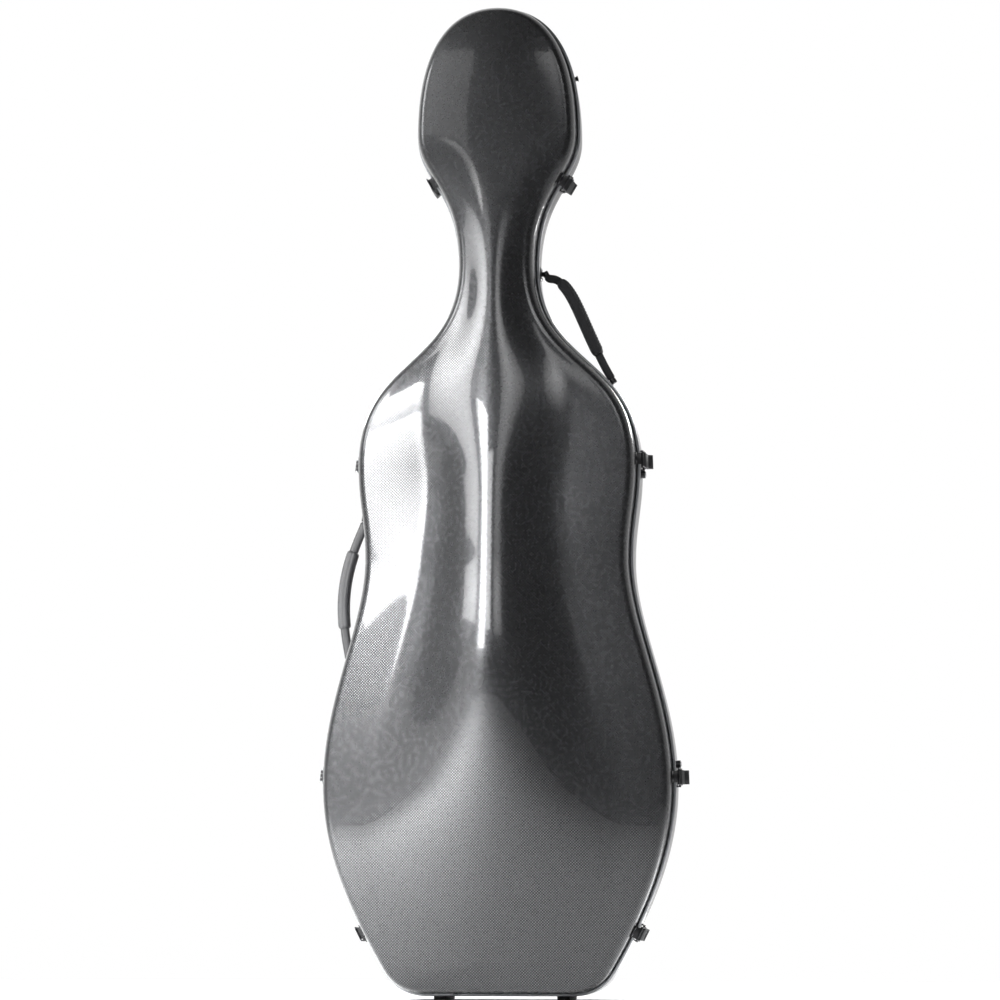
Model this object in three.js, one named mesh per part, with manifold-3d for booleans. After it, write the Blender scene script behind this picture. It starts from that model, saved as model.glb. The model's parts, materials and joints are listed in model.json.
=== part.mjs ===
import * as THREE from 'three';
import { mergeVertices } from 'three/addons/utils/BufferGeometryUtils.js';
import Module from 'manifold-3d';

// Cello hard case: a laminate lid on a deeper back shell, held by two hinges and six draw latches.
// Millimetres, +Z up. The case stands on its bottom, its lid faces -Y and its seam lies in the plane y = 0.

const wasm = await Module();
wasm.setup();

const full = 2 * Math.PI;
const quarter = Math.PI / 2;

// Outline of the walls at the seam: half-widths, and how far each stage rises above the one below it

const bottomHeight = 10;
const cornerHalf = 138;
const cornerTangent = 38;
const lowerBoutHalf = 238.5;
const lowerBoutRise = 282;
const waistHalf = 180.5;
const waistRise = 308;
const upperBoutHalf = 190.5;
const upperBoutRise = 128;
const neckHalf = 51.5;
const neckRise = 277;
const headHalf = 109;
const headRise = 182;
const topRise = 175;

const lowerBoutHeight = bottomHeight + lowerBoutRise;
const waistHeight = lowerBoutHeight + waistRise;
const upperBoutHeight = waistHeight + upperBoutRise;
const neckHeight = upperBoutHeight + neckRise;
const headHeight = neckHeight + headRise;
const topHeight = headHeight + topRise;

// How far each control point reaches along its stretch of the outline
const cornerLeanShare = 0.5;
const slopeReachShare = 0.36;
const lowerBoutReachShares = { before: 0.36, after: 0.39 };
const waistReachShares = { before: 0.29, after: 0.4 };
const upperBoutReachShares = { before: 0.4, after: 0.554 };
const neckReachShares = { before: 0.525, after: 0.6 };
const headReachShares = { before: 0.328, after: 0.663 };
const topReachShare = 0.62;

// Flat lands in the walls, where hardware is fastened: the height that each is reckoned from, how far the
// middle lies above it, and half the length
const lands = {
  corner: { from: bottomHeight, above: 84, half: 15 },
  lower: { from: lowerBoutHeight, above: 14, half: 23 },
  handleLow: { from: waistHeight, above: -140, half: 13 },
  handleHigh: { from: waistHeight, above: 64, half: 13 },
  upper: { from: upperBoutHeight, above: 5, half: 23 },
  shoulder: { from: upperBoutHeight, above: 115, half: 9 },
  neck: { from: neckHeight, above: -6, half: 9 },
  latch: { from: headHeight, above: -62, half: 15 },
  stud: { from: headHeight, above: 83, half: 8 },
};
const stepTurn = 0.37;
const stepLength = 215;

// Laminate and linings
const gap = 0.3;
const shellWall = 3;
const linerGap = 0.4;
const lidLinerWall = 7;
const backLinerWall = 11;
const leastRoll = 2;

// How much longer than the hole a tool that cuts it is
const overrun = 1;

// Depths of the lid, away from the seam. The wall grows shallower towards the bottom, and the crown is a
// ridge that is highest over the bridge.
const lidWallDepth = 38;
const lidNeckWallDepth = 36;
const lidWallFall = 8;
const lidWallFallFade = 280;
const lidRollIn = 12;
const lidRollDepth = 20;
const bridgeRise = 140;
const lidCrown = { low: 10, bridge: 74, waist: 60, upperBout: 48, neck: 18, head: 10 };
const lidRidgeShares = { low: 0.9, bridge: 0.72, waist: 0.62, upperBout: 0.56, neck: 1, head: 1 };
const lidArchShares = { low: 0.6, bridge: 0.2, waist: 0.2, upperBout: 0.2, neck: 0.6, head: 1 };
const lidSpineUp = 50;
const lidSpineDown = 100;
const spineEase = 50;

// Depths of the back shell, away from the seam
const backWallDepth = 62;
const backNeckWallDepth = 44;
const backRollIn = 40;
const backRollDepth = 55;
const backNeckRollDepth = 34;
const backCrown = { low: 16, bridge: 48, waist: 40, upperBout: 36, neck: 14, head: 16 };
const backSpineUp = 70;
const backSpineDown = 112;
const bottomDrop = 5;
const bottomDropFade = 90;

// Beads on the two edges
const lidBeadOut = 4.3;
const lidBeadDepth = 12;
const backBeadOut = 2.3;
const backBeadDepth = 9;
const beadWeb = 2;
const sealWidth = 3;
const sealDepth = 5;

// Solids and geometry

function solid(geometry) {
  const plain = geometry.clone();
  plain.deleteAttribute('normal');
  plain.deleteAttribute('uv');
  const merged = mergeVertices(plain);
  const mesh = new wasm.Mesh({
    numProp: 3,
    vertProperties: new Float32Array(merged.attributes.position.array),
    triVerts: new Uint32Array(merged.index.array),
  });
  return new wasm.Manifold(mesh);
}

function geometryOf(manifold) {
  const mesh = manifold.getMesh();
  const geometry = new THREE.BufferGeometry();
  geometry.setAttribute('position', new THREE.BufferAttribute(mesh.vertProperties, 3));
  geometry.setIndex(new THREE.BufferAttribute(mesh.triVerts, 1));
  return geometry;
}

function joined(geometries) {
  return geometryOf(geometries.map(solid).reduce((all, next) => all.add(next)));
}

function cut(geometry, tools) {
  return geometryOf(tools.map(solid).reduce((left, tool) => left.subtract(tool), solid(geometry)));
}

// A profile in the plane across the edge (out of the wall, back from the seam), run along the edge
function alongEdge(side, points, from, to) {
  const shape = new THREE.Shape(points.map(([out, back]) => new THREE.Vector2(side * out, back)));
  const geometry = new THREE.ExtrudeGeometry(shape, { depth: to - from, bevelEnabled: false, steps: 1 });
  return geometry.translate(0, 0, from);
}

function boxBetween(side, [out0, back0, along0], [out1, back1, along1]) {
  return alongEdge(side, [[out0, back0], [out1, back0], [out1, back1], [out0, back1]], along0, along1);
}

function rodAlongZ(radius, length, sides) {
  return new THREE.CylinderGeometry(radius, radius, length, sides).rotateX(quarter);
}

function finish(color, roughness, metalness) {
  return new THREE.MeshStandardMaterial({ color, roughness, metalness });
}

const looks = {
  laminate: finish(0x3c3d40, 0.25, 0.3),
  bead: finish(0xb9bbbf, 0.3, 0.2),
  darkBead: finish(0x4a4b4e, 0.35, 0.2),
  metal: finish(0x1d1d1f, 0.35, 0.8),
  steel: finish(0xa9abb0, 0.3, 1),
  plastic: finish(0x18181a, 0.5, 0),
  rubber: finish(0x141415, 0.8, 0),
  webbing: finish(0x161617, 0.9, 0),
  plush: finish(0x5b1220, 0.95, 0),
  foam: finish(0x4a0f1a, 0.95, 0),
};

function piece(name, geometry, material) {
  const mesh = new THREE.Mesh(geometry, material);
  mesh.name = name;
  return mesh;
}

// The outline

function outlineCurves() {
  const corner = new THREE.Vector2(cornerHalf, bottomHeight);
  const lean = new THREE.Vector2(cornerLeanShare, Math.sqrt(1 - cornerLeanShare ** 2));
  const cornerStart = new THREE.Vector2(cornerHalf - cornerTangent, bottomHeight);
  const cornerEnd = corner.clone().addScaledVector(lean, cornerTangent);
  const path = new THREE.Path();
  path.moveTo(0, bottomHeight);
  path.lineTo(cornerStart.x, cornerStart.y);
  path.quadraticCurveTo(corner.x, corner.y, cornerEnd.x, cornerEnd.y);
  const slopeRise = lowerBoutHeight - cornerEnd.y;
  const slopeControl = cornerEnd.clone().addScaledVector(lean, slopeRise * slopeReachShare);
  const bouts = [
    [lowerBoutHalf, lowerBoutHeight, lowerBoutReachShares],
    [waistHalf, waistHeight, waistReachShares],
    [upperBoutHalf, upperBoutHeight, upperBoutReachShares],
    [neckHalf, neckHeight, neckReachShares],
    [headHalf, headHeight, headReachShares],
  ];
  path.bezierCurveTo(
    slopeControl.x, slopeControl.y,
    lowerBoutHalf, lowerBoutHeight - slopeRise * lowerBoutReachShares.before,
    lowerBoutHalf, lowerBoutHeight,
  );
  for (let i = 1; i < bouts.length; i += 1) {
    const [half0, height0, share0] = bouts[i - 1];
    const [half1, height1, share1] = bouts[i];
    const rise = height1 - height0;
    path.bezierCurveTo(
      half0, height0 + rise * share0.after,
      half1, height1 - rise * share1.before,
      half1, height1,
    );
  }
  const crown = topHeight - headHeight;
  path.bezierCurveTo(
    headHalf, headHeight + crown * headReachShares.after,
    headHalf * topReachShare, topHeight,
    0, topHeight,
  );
  return path.curves;
}

// The right half of the outline from the middle of the bottom to the top, as corners of the facets.
// Each facet turns and runs about as far as the next, and the lands stay whole.
function halfOutline() {
  const fineSteps = 160;
  const closeShare = 1e-3;
  const closeMeasure = 1e-9;
  const fine = outlineCurves().flatMap((curve, i) => {
    const points = curve.getPoints(curve.isLineCurve ? 2 : fineSteps);
    return i === 0 ? points : points.slice(1);
  });
  const measure = [0];
  for (let i = 1; i < fine.length; i += 1) {
    const step = fine[i].clone().sub(fine[i - 1]);
    const last = i > 1 ? fine[i - 1].clone().sub(fine[i - 2]) : step;
    const turn = Math.abs(last.angleTo(step));
    measure.push(measure[i - 1] + turn / stepTurn + step.length() / stepLength);
  }
  const atHeight = (height) => {
    const i = fine.findIndex((point, k) => k > 2 && point.y >= height);
    const share = (height - fine[i - 1].y) / (fine[i].y - fine[i - 1].y);
    return {
      point: fine[i - 1].clone().lerp(fine[i], share),
      measure: measure[i - 1] + share * (measure[i] - measure[i - 1]),
    };
  };
  const forced = [{ measure: 0 }, { measure: measure[1] }, { measure: measure[2] }];
  for (const land of Object.values(lands)) {
    const height = land.from + land.above;
    const below = atHeight(height - closeShare * land.half).point;
    const above = atHeight(height + closeShare * land.half).point;
    const rise = above.sub(below).normalize().y * land.half;
    forced.push({ measure: atHeight(height - rise).measure, land });
    forced.push({ measure: atHeight(height + rise).measure });
  }
  forced.push({ measure: measure[measure.length - 1] });
  forced.sort((a, b) => a.measure - b.measure);
  const atMeasure = (value) => {
    const i = Math.max(1, measure.findIndex((m) => m >= value - closeMeasure));
    const share = (value - measure[i - 1]) / (measure[i] - measure[i - 1]);
    return fine[i - 1].clone().lerp(fine[i], share);
  };
  const points = [];
  for (let i = 1; i < forced.length; i += 1) {
    const from = forced[i - 1];
    const span = forced[i].measure - from.measure;
    const count = from.land ? 1 : Math.max(1, Math.ceil(span));
    if (from.land) from.land.index = points.length;
    for (let k = 0; k < count; k += 1) points.push(atMeasure(from.measure + (span * k) / count));
  }
  points.push(fine[fine.length - 1].clone());
  return points;
}

const half = halfOutline();
const loop = [...half, ...half.slice(1, -1).reverse().map((point) => new THREE.Vector2(-point.x, point.y))];

// Outward direction at each corner, stretched so that facets moved along it stay parallel
const outward = loop.map((point, i) => {
  const before = loop[(i + loop.length - 1) % loop.length];
  const after = loop[(i + 1) % loop.length];
  const normalOf = (a, b) => new THREE.Vector2(b.y - a.y, a.x - b.x).normalize();
  const one = normalOf(before, point);
  const two = normalOf(point, after);
  const mean = one.clone().add(two).normalize();
  return mean.divideScalar(mean.dot(one));
});

function outlineAt(offset) {
  return loop.map((point, i) => point.clone().addScaledVector(outward[i], offset));
}

// Where a land lies: the middle of its facet, and the facet's directions
function landFrame(land, side) {
  const from = half[land.index];
  const to = half[land.index + 1];
  const tangent = to.clone().sub(from).normalize();
  const middle = from.clone().add(to).multiplyScalar(0.5);
  return {
    tilt: side * Math.atan2(tangent.x, tangent.y),
    position: new THREE.Vector3(side * middle.x, 0, middle.y),
  };
}

// A group on a land: x is across the wall (outwards on the right, inwards on the left), y back, z up the edge
function onLand(land, side) {
  const frame = landFrame(land, side);
  const group = new THREE.Group();
  group.position.copy(frame.position);
  group.rotation.y = frame.tilt;
  return group;
}

// Shells and linings

function smooth(share) {
  const x = Math.min(1, Math.max(0, share));
  return x * x * (3 - 2 * x);
}

const bridgeHeight = lowerBoutHeight + bridgeRise;
const stationHeights = {
  low: bottomHeight + lidSpineUp,
  bridge: bridgeHeight,
  waist: waistHeight,
  upperBout: upperBoutHeight,
  neck: neckHeight,
  head: headHeight,
};

// A value that passes smoothly through the stations of the body: a cubic between each two, whose slope at a
// station is that between its neighbours
function alongBody(values, height) {
  const names = Object.keys(stationHeights);
  const stations = names.map((name) => stationHeights[name]);
  const at = names.map((name) => values[name]);
  const last = names.length - 1;
  const secant = (from, to) => (at[to] - at[from]) / (stations[to] - stations[from]);
  const slope = (k) => (k === last ? 0 : secant(Math.max(0, k - 1), k + 1));
  const held = Math.min(stations[last], Math.max(stations[0], height));
  const k = Math.max(1, stations.findIndex((station) => held <= station));
  const span = stations[k] - stations[k - 1];
  const share = (held - stations[k - 1]) / span;
  const bend = smooth(share);
  const lean = slope(k - 1) * (1 - share) - slope(k) * share;
  return at[k - 1] * (1 - bend) + at[k] * bend + span * share * (1 - share) * lean;
}

function bodyOrNeck(body, neck, height) {
  return body + (neck - body) * smooth((height - upperBoutHeight) / (neckHeight - upperBoutHeight));
}

const lidForm = {
  sign: -1,
  wall: (height) => {
    const fall = 1 - smooth((height - bottomHeight) / lidWallFallFade);
    return bodyOrNeck(lidWallDepth, lidNeckWallDepth, height) - lidWallFall * fall;
  },
  rollIn: () => lidRollIn,
  rollDepth: () => lidRollDepth,
  crown: (height) => alongBody(lidCrown, height),
  ridge: (height) => alongBody(lidRidgeShares, height),
  arch: (height) => alongBody(lidArchShares, height),
  spineLow: bottomHeight + lidSpineUp,
  spineHigh: topHeight - lidSpineDown,
  straight: 0,
  drop: 0,
  rollAngleShares: [0, 0.5, 1],
  crownShares: [0.2, 0.42, 0.64, 0.84, 1],
};

const backForm = {
  sign: 1,
  wall: (height) => bodyOrNeck(backWallDepth, backNeckWallDepth, height),
  rollIn: (height) => bodyOrNeck(backRollIn, neckHalf / 2, height),
  rollDepth: (height) => bodyOrNeck(backRollDepth, backNeckRollDepth, height),
  crown: (height) => alongBody(backCrown, height),
  ridge: () => 1,
  arch: () => 1,
  spineLow: bottomHeight + backSpineUp,
  spineHigh: topHeight - backSpineDown,
  straight: backBeadDepth + gap,
  drop: bottomDrop,
  rollAngleShares: [0, 0.5, 1],
  crownShares: [0.3, 0.62, 1],
};

// The height on the spine that a height of the outline is joined to: it eases into the spine's two ends
function spineAt(form, height) {
  const eased = (value, limit) => {
    if (value > limit + spineEase) return value;
    if (value < limit - spineEase) return limit;
    return limit + (value - limit + spineEase) ** 2 / (4 * spineEase);
  };
  return -eased(-eased(height, form.spineLow), -form.spineHigh);
}

// The crown's share of its height at s, from 0 at the edge to 1 on the spine: a plain arch mixed with a ridge
function profileShare(s, ridgeShare, archShare) {
  const arch = 1 - (1 - s) * (1 - s);
  const raised = smooth((s - 1 + ridgeShare) / ridgeShare);
  return archShare * arch + (1 - archShare) * raised;
}

// One surface of a dish as rings of points, from its edge to the spine. inset is the distance inside
// the outer face, edge the distance of its rim from the seam.
function dishRings(form, inset, edge, lift = 0) {
  const rings = [loop.map((_, i) => ({ i, offset: inset, depth: edge }))];
  if (form.straight > edge) rings.push(loop.map((_, i) => ({ i, offset: inset, depth: form.straight })));
  for (const share of form.rollAngleShares) {
    rings.push(loop.map((point, i) => {
      const inward = Math.max(form.rollIn(point.y) - inset, leastRoll);
      const deep = form.rollDepth(point.y) - inset - lift;
      const angle = share * quarter;
      return {
        i,
        offset: inset + inward * (1 - Math.cos(angle)),
        depth: form.wall(point.y) + deep * Math.sin(angle),
      };
    }));
  }
  const placed = rings.map((ring) => ring.map(({ i, offset, depth }) => {
    const point = loop[i].clone().addScaledVector(outward[i], -offset);
    const low = 1 - smooth((loop[i].y - bottomHeight) / bottomDropFade);
    const away = smooth((depth - form.straight) / (form.wall(loop[i].y) - form.straight));
    return new THREE.Vector3(point.x, form.sign * depth, point.y - form.drop * low * away);
  }));
  const base = placed[placed.length - 1];
  for (const s of form.crownShares) {
    placed.push(base.map((point, i) => {
      const height = loop[i].y;
      const spine = spineAt(form, height);
      const level = (at) => form.wall(at) + form.rollDepth(at) - inset - lift;
      const raised = form.crown(spine) * profileShare(s, form.ridge(height), form.arch(height));
      const depth = level(height) * (1 - s) + level(spine) * s + raised;
      return new THREE.Vector3(point.x * (1 - s), form.sign * depth, point.z * (1 - s) + spine * s);
    }));
  }
  return placed;
}

// A closed mesh from rings of equal length, with triangles that have no area left out
function meshOfRings(rings, closeRings, otherWayUntil = 0) {
  const count = rings[0].length;
  const keys = new Map();
  const positions = [];
  const vertex = (point) => {
    const key = [point.x, point.y, point.z].map((v) => Math.round(v * 1e4)).join();
    if (!keys.has(key)) {
      keys.set(key, positions.length / 3);
      positions.push(point.x, point.y, point.z);
    }
    return keys.get(key);
  };
  const index = [];
  const triangle = (a, b, c) => {
    if (a !== b && b !== c && a !== c) index.push(a, b, c);
  };
  const last = closeRings ? rings.length : rings.length - 1;
  for (let r = 0; r < last; r += 1) {
    const one = rings[r];
    const two = rings[(r + 1) % rings.length];
    for (let i = 0; i < count; i += 1) {
      const k = (i + 1) % count;
      const corners = [one[i], one[k], two[k], two[i]].map(vertex);
      // The two halves are cut along mirrored diagonals, and so are an outer face and the face inside it
      if ((i < count / 2) === (r >= otherWayUntil)) {
        triangle(corners[0], corners[1], corners[2]);
        triangle(corners[0], corners[2], corners[3]);
      } else {
        triangle(corners[0], corners[1], corners[3]);
        triangle(corners[1], corners[2], corners[3]);
      }
    }
  }
  const geometry = new THREE.BufferGeometry();
  geometry.setAttribute('position', new THREE.Float32BufferAttribute(positions, 3));
  geometry.setIndex(index);
  return facingOut(geometry);
}

function facingOut(geometry) {
  const at = geometry.attributes.position;
  const index = geometry.index.array;
  const [a, b, c] = [new THREE.Vector3(), new THREE.Vector3(), new THREE.Vector3()];
  let volume = 0;
  for (let i = 0; i < index.length; i += 3) {
    a.fromBufferAttribute(at, index[i]);
    b.fromBufferAttribute(at, index[i + 1]);
    c.fromBufferAttribute(at, index[i + 2]);
    volume += a.dot(b.cross(c));
  }
  if (volume < 0) {
    for (let i = 0; i < index.length; i += 3) [index[i + 1], index[i + 2]] = [index[i + 2], index[i + 1]];
  }
  return geometry;
}

function dish(form, inset, wall, edge, lift, innerForm = form) {
  const outer = dishRings(form, inset, edge, lift);
  const inner = dishRings(innerForm, inset + wall, edge);
  return meshOfRings([...outer.reverse(), ...inner], false, outer.length - 1);
}

// A bead or strip round the whole edge, from a profile of (out of the wall, from the seam) points
function roundEdge(form, profile) {
  const rings = profile.map(([out, depth]) => outlineAt(out).map((point) => (
    new THREE.Vector3(point.x, form.sign * depth, point.y)
  )));
  return meshOfRings(rings, true);
}

const shellEdge = gap + beadWeb + gap;

function beadProfile(out, depth) {
  const round = out / 2;
  return [
    [-shellWall, gap],
    [out - round, gap],
    [out, gap + round],
    [out, depth - round],
    [gap, depth],
    [gap, gap + beadWeb],
    [-shellWall, gap + beadWeb],
  ];
}

function lidShell() {
  return piece('lid_shell', dish(lidForm, 0, shellWall, shellEdge, 0), looks.laminate);
}

function backShell() {
  return piece('back_shell', dish(backForm, 0, shellWall, shellEdge, 0), looks.laminate);
}

const linerStart = shellWall + linerGap;

function lidLiner() {
  const inner = { ...lidForm, rollAngleShares: [0, 1], crownShares: [0.42, 0.84, 1] };
  return piece('lid_liner', dish(lidForm, linerStart, lidLinerWall, gap + beadWeb, linerGap, inner), looks.plush);
}

function backLiner() {
  const inner = { ...backForm, rollAngleShares: [0, 1], crownShares: [0.62, 1] };
  const edge = gap + sealDepth + gap;
  return piece('back_liner', dish(backForm, linerStart, backLinerWall, edge, linerGap, inner), looks.plush);
}

function rimPieces() {
  const inner = -shellWall - gap;
  return {
    lid: piece('lid_rim', roundEdge(lidForm, beadProfile(lidBeadOut, lidBeadDepth)), looks.bead),
    back: piece('back_rim', roundEdge(backForm, beadProfile(backBeadOut, backBeadDepth)), looks.darkBead),
    seal: piece('rim_seal', roundEdge(backForm, [
      [inner - sealWidth, gap],
      [inner, gap],
      [inner, gap + sealDepth],
      [inner - sealWidth, gap + sealDepth],
    ]), looks.rubber),
  };
}

// Draw latches. Across the edge, "out" is the distance from the wall and "back" the distance behind the seam.

const latch = {
  plate: 2,
  plateFrom: 10,
  plateTo: 40,
  pivotOut: 7.4,
  pivotBack: 13.4,
  pinRadius: 1.4,
  cheekRadius: 3.2,
  cheekThick: 1.5,
  wire: 0.9,
  wireSides: 6,
  bailPivotBack: 25.4,
  bailPivotOut: 5.9,
  bailRun: 9.3,
  bailArch: 10.5,
  barAt: -18.5,
  hubRadius: 3.4,
  leverTop: 12.6,
  leverEnd: 41,
  gripFrom: 31,
};

const keeper = {
  plate: 1.5,
  from: 13,
  to: 28,
  half: 8,
  lip: 1.3,
  lipOut: 10.7,
};

const lock = {
  bossOut: 8.3,
  bossRadius: 5.4,
  barrelRadius: 3.6,
  barrelProud: 1,
  barrelDeep: 5,
  slotWide: 1.1,
  slotDeep: 1.2,
};

const smallLatch = { lever: 17, gripOut: 14, shift: 0, plateBelow: 12.3, plateAbove: 12.3 };
const wideLatch = { lever: 19, gripOut: 18, shift: 3.5, plateBelow: 20, plateAbove: 17 };

function latchBase(name, side, size, locked, flip) {
  const cheekIn = size.lever / 2 + gap + 2 * latch.wire + 2 * gap;
  const cheekOut = cheekIn + latch.cheekThick;
  const middle = flip * size.shift;
  const low = flip > 0 ? -size.plateBelow : -size.plateAbove;
  const high = flip > 0 ? size.plateAbove : size.plateBelow;
  const plateTop = gap + latch.plate;
  const parts = [boxBetween(side, [gap, latch.plateFrom, low], [plateTop, latch.plateTo, high])];
  const cheek = [
    [gap, latch.pivotBack - latch.cheekRadius],
    [latch.pivotOut, latch.pivotBack - latch.cheekRadius],
    [latch.pivotOut + latch.cheekRadius / 2, latch.pivotBack - latch.cheekRadius / 2],
    [latch.pivotOut + latch.cheekRadius / 2, latch.pivotBack + latch.cheekRadius / 2],
    [latch.pivotOut, latch.pivotBack + latch.cheekRadius],
    [gap, latch.pivotBack + 2 * latch.cheekRadius],
  ];
  for (const end of [-1, 1]) {
    const [from, to] = end < 0 ? [-cheekOut, -cheekIn] : [cheekIn, cheekOut];
    parts.push(alongEdge(side, cheek, middle + from, middle + to));
  }
  const pin = rodAlongZ(latch.pinRadius, 2 * cheekOut, 10);
  parts.push(pin.translate(side * latch.pivotOut, latch.pivotBack, middle));
  let geometry = null;
  if (locked) {
    const at = lockPlace(side, size, flip);
    const boss = new THREE.CylinderGeometry(lock.bossRadius, lock.bossRadius, lock.bossOut - gap, 14);
    boss.rotateZ(quarter).translate((side * (lock.bossOut + gap)) / 2, at.y, at.z);
    parts.push(boss);
    const bore = new THREE.CylinderGeometry(lock.barrelRadius + gap, lock.barrelRadius + gap, lock.barrelDeep, 12);
    bore.rotateZ(quarter).translate(side * (lock.bossOut - lock.barrelDeep / 2 + gap), at.y, at.z);
    geometry = cut(joined(parts), [bore]);
  } else {
    geometry = joined(parts);
  }
  return piece(name, geometry, looks.metal);
}

function lockPlace(side, size, flip) {
  const edge = flip > 0 ? -size.plateBelow : size.plateBelow;
  return { y: (latch.plateFrom + latch.plateTo) / 2 - gap, z: edge + flip * lock.bossRadius };
}

function lockBarrel(name, side, size, flip) {
  const group = new THREE.Group();
  group.name = `${name}_pivot`;
  const at = lockPlace(side, size, flip);
  const length = lock.barrelDeep + lock.barrelProud - 2 * gap;
  const barrel = new THREE.CylinderGeometry(lock.barrelRadius, lock.barrelRadius, length, 12).rotateZ(quarter);
  const slotLength = 2 * lock.barrelRadius - 2 * lock.slotWide;
  const slot = new THREE.BoxGeometry(2 * lock.slotDeep, lock.slotWide, slotLength);
  slot.translate((side * length) / 2, 0, 0);
  group.position.set(side * (lock.bossOut + lock.barrelProud - length / 2), at.y, at.z);
  group.add(piece(name, cut(barrel, [slot]), looks.steel));
  return group;
}

function latchLever(name, side, size, flip) {
  const pivot = new THREE.Group();
  pivot.name = `${name}_pivot`;
  pivot.position.set(side * latch.pivotOut, latch.pivotBack, flip * size.shift);
  const halfLever = size.lever / 2;
  const back = (value) => value - latch.pivotBack;
  const out = (value) => value - latch.pivotOut;
  const body = alongEdge(side, [
    [-latch.hubRadius, 0],
    [-latch.hubRadius / 2, -latch.hubRadius],
    [latch.hubRadius, -latch.hubRadius],
    [out(latch.leverTop), latch.hubRadius],
    [out(latch.leverTop), back(latch.gripFrom)],
    [out(size.gripOut), back(latch.leverEnd) - latch.hubRadius],
    [out(size.gripOut), back(latch.leverEnd)],
    [out(latch.leverTop) - latch.hubRadius / 2, back(latch.leverEnd)],
    [-latch.hubRadius, back(latch.gripFrom)],
  ], -halfLever, halfLever);
  const bore = rodAlongZ(latch.pinRadius + gap, size.lever + overrun, 10);
  const ends = [-1, 1].map((end) => {
    const hole = rodAlongZ(latch.wire + gap, 2 * (wireReach + gap), 8);
    return hole.translate(side * out(latch.bailPivotOut), back(latch.bailPivotBack), end * halfLever);
  });
  pivot.add(piece(name, cut(body, [bore, ...ends]), looks.metal));
  return pivot;
}

const wireReach = 3;

// The bail: a bent wire from one side of the lever to the other, over the pin and round the keeper's lip
function latchBail(name, side, size) {
  const pivot = new THREE.Group();
  pivot.name = `${name}_pivot`;
  const out = side * (latch.bailPivotOut - latch.pivotOut);
  const back = latch.bailPivotBack - latch.pivotBack;
  pivot.position.set(out, back, 0);
  const leg = size.lever / 2 + gap + latch.wire;
  const r = latch.wire;
  const legPoints = [
    [0, 0],
    [latch.bailArch - latch.bailPivotOut, latch.pivotBack + 2 * latch.pinRadius - latch.bailPivotBack],
    [latch.bailArch - latch.bailPivotOut, latch.pivotBack - 2 * latch.pinRadius - latch.bailPivotBack],
    [latch.bailRun - latch.bailPivotOut, latch.barAt - latch.bailPivotBack],
  ];
  const points = [];
  const start = new THREE.Vector3(0, 0, size.lever / 2 - wireReach);
  points.push(start);
  for (const [x, y] of legPoints) points.push(new THREE.Vector3(side * x, y, leg));
  const whole = [...points, ...points.map((p) => new THREE.Vector3(p.x, p.y, -p.z)).reverse()];
  pivot.add(piece(name, bentWire(whole, latch.wire, r), looks.steel));
  return pivot;
}

// A wire bent at each inner point, with a short bevel at every bend
function bentWire(points, radius, bevel) {
  const path = [points[0]];
  for (let i = 1; i < points.length - 1; i += 1) {
    for (const to of [points[i - 1], points[i + 1]]) {
      const direction = to.clone().sub(points[i]);
      const reach = Math.min(bevel, direction.length() / 3);
      path.push(points[i].clone().addScaledVector(direction.normalize(), reach));
    }
  }
  path.push(points[points.length - 1]);
  return wireThrough(path, radius, latch.wireSides);
}

// A tube of straight runs through the given points, mitred at each of them
function wireThrough(path, radius, sides) {
  const rings = [];
  let across = null;
  for (let i = 0; i < path.length; i += 1) {
    const before = i > 0 ? path[i].clone().sub(path[i - 1]).normalize() : null;
    const after = i < path.length - 1 ? path[i + 1].clone().sub(path[i]).normalize() : null;
    const along = (before ?? after).clone().add(after ?? before).normalize();
    if (!across) {
      const helper = Math.abs(along.x) < 0.9 ? new THREE.Vector3(1, 0, 0) : new THREE.Vector3(0, 1, 0);
      across = helper.cross(along).normalize();
    } else {
      across = across.addScaledVector(before, -across.dot(before)).normalize();
    }
    const run = before ?? after;
    const up = run.clone().cross(across).normalize();
    const ring = [];
    for (let k = 0; k < sides; k += 1) {
      const angle = (k / sides) * full;
      const spoke = across.clone().multiplyScalar(Math.cos(angle)).addScaledVector(up, Math.sin(angle));
      spoke.multiplyScalar(radius);
      spoke.addScaledVector(run, -spoke.dot(along) / run.dot(along));
      ring.push(path[i].clone().add(spoke));
    }
    rings.push(ring);
  }
  const start = rings[0].map(() => path[0].clone());
  const end = rings[0].map(() => path[path.length - 1].clone());
  return meshOfRings([start, ...rings, end], false);
}

function latchKeeper(name, side, size, flip) {
  const top = gap + keeper.plate;
  const lipFar = latch.barAt + latch.wire + gap;
  const lipNear = lipFar + keeper.lip;
  const middle = flip * size.shift;
  const profile = [
    [gap, -keeper.from],
    [gap, -keeper.to],
    [top, -keeper.to],
    [top, lipFar],
    [keeper.lipOut, lipFar],
    [keeper.lipOut, lipNear],
    [top + keeper.lip, lipNear],
    [top, -keeper.from],
  ];
  return piece(name, alongEdge(side, profile, middle - keeper.half, middle + keeper.half), looks.metal);
}

const latchPlaces = [
  { name: 'head_left', land: lands.latch, side: -1, size: smallLatch, flip: 1 },
  { name: 'head_right', land: lands.latch, side: 1, size: smallLatch, flip: 1 },
  { name: 'upper_right', land: lands.upper, side: 1, size: wideLatch, flip: 1, locked: true },
  { name: 'lower_right', land: lands.lower, side: 1, size: wideLatch, flip: -1, locked: true },
  { name: 'corner_left', land: lands.corner, side: -1, size: smallLatch, flip: 1 },
  { name: 'corner_right', land: lands.corner, side: 1, size: smallLatch, flip: 1 },
];

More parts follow.
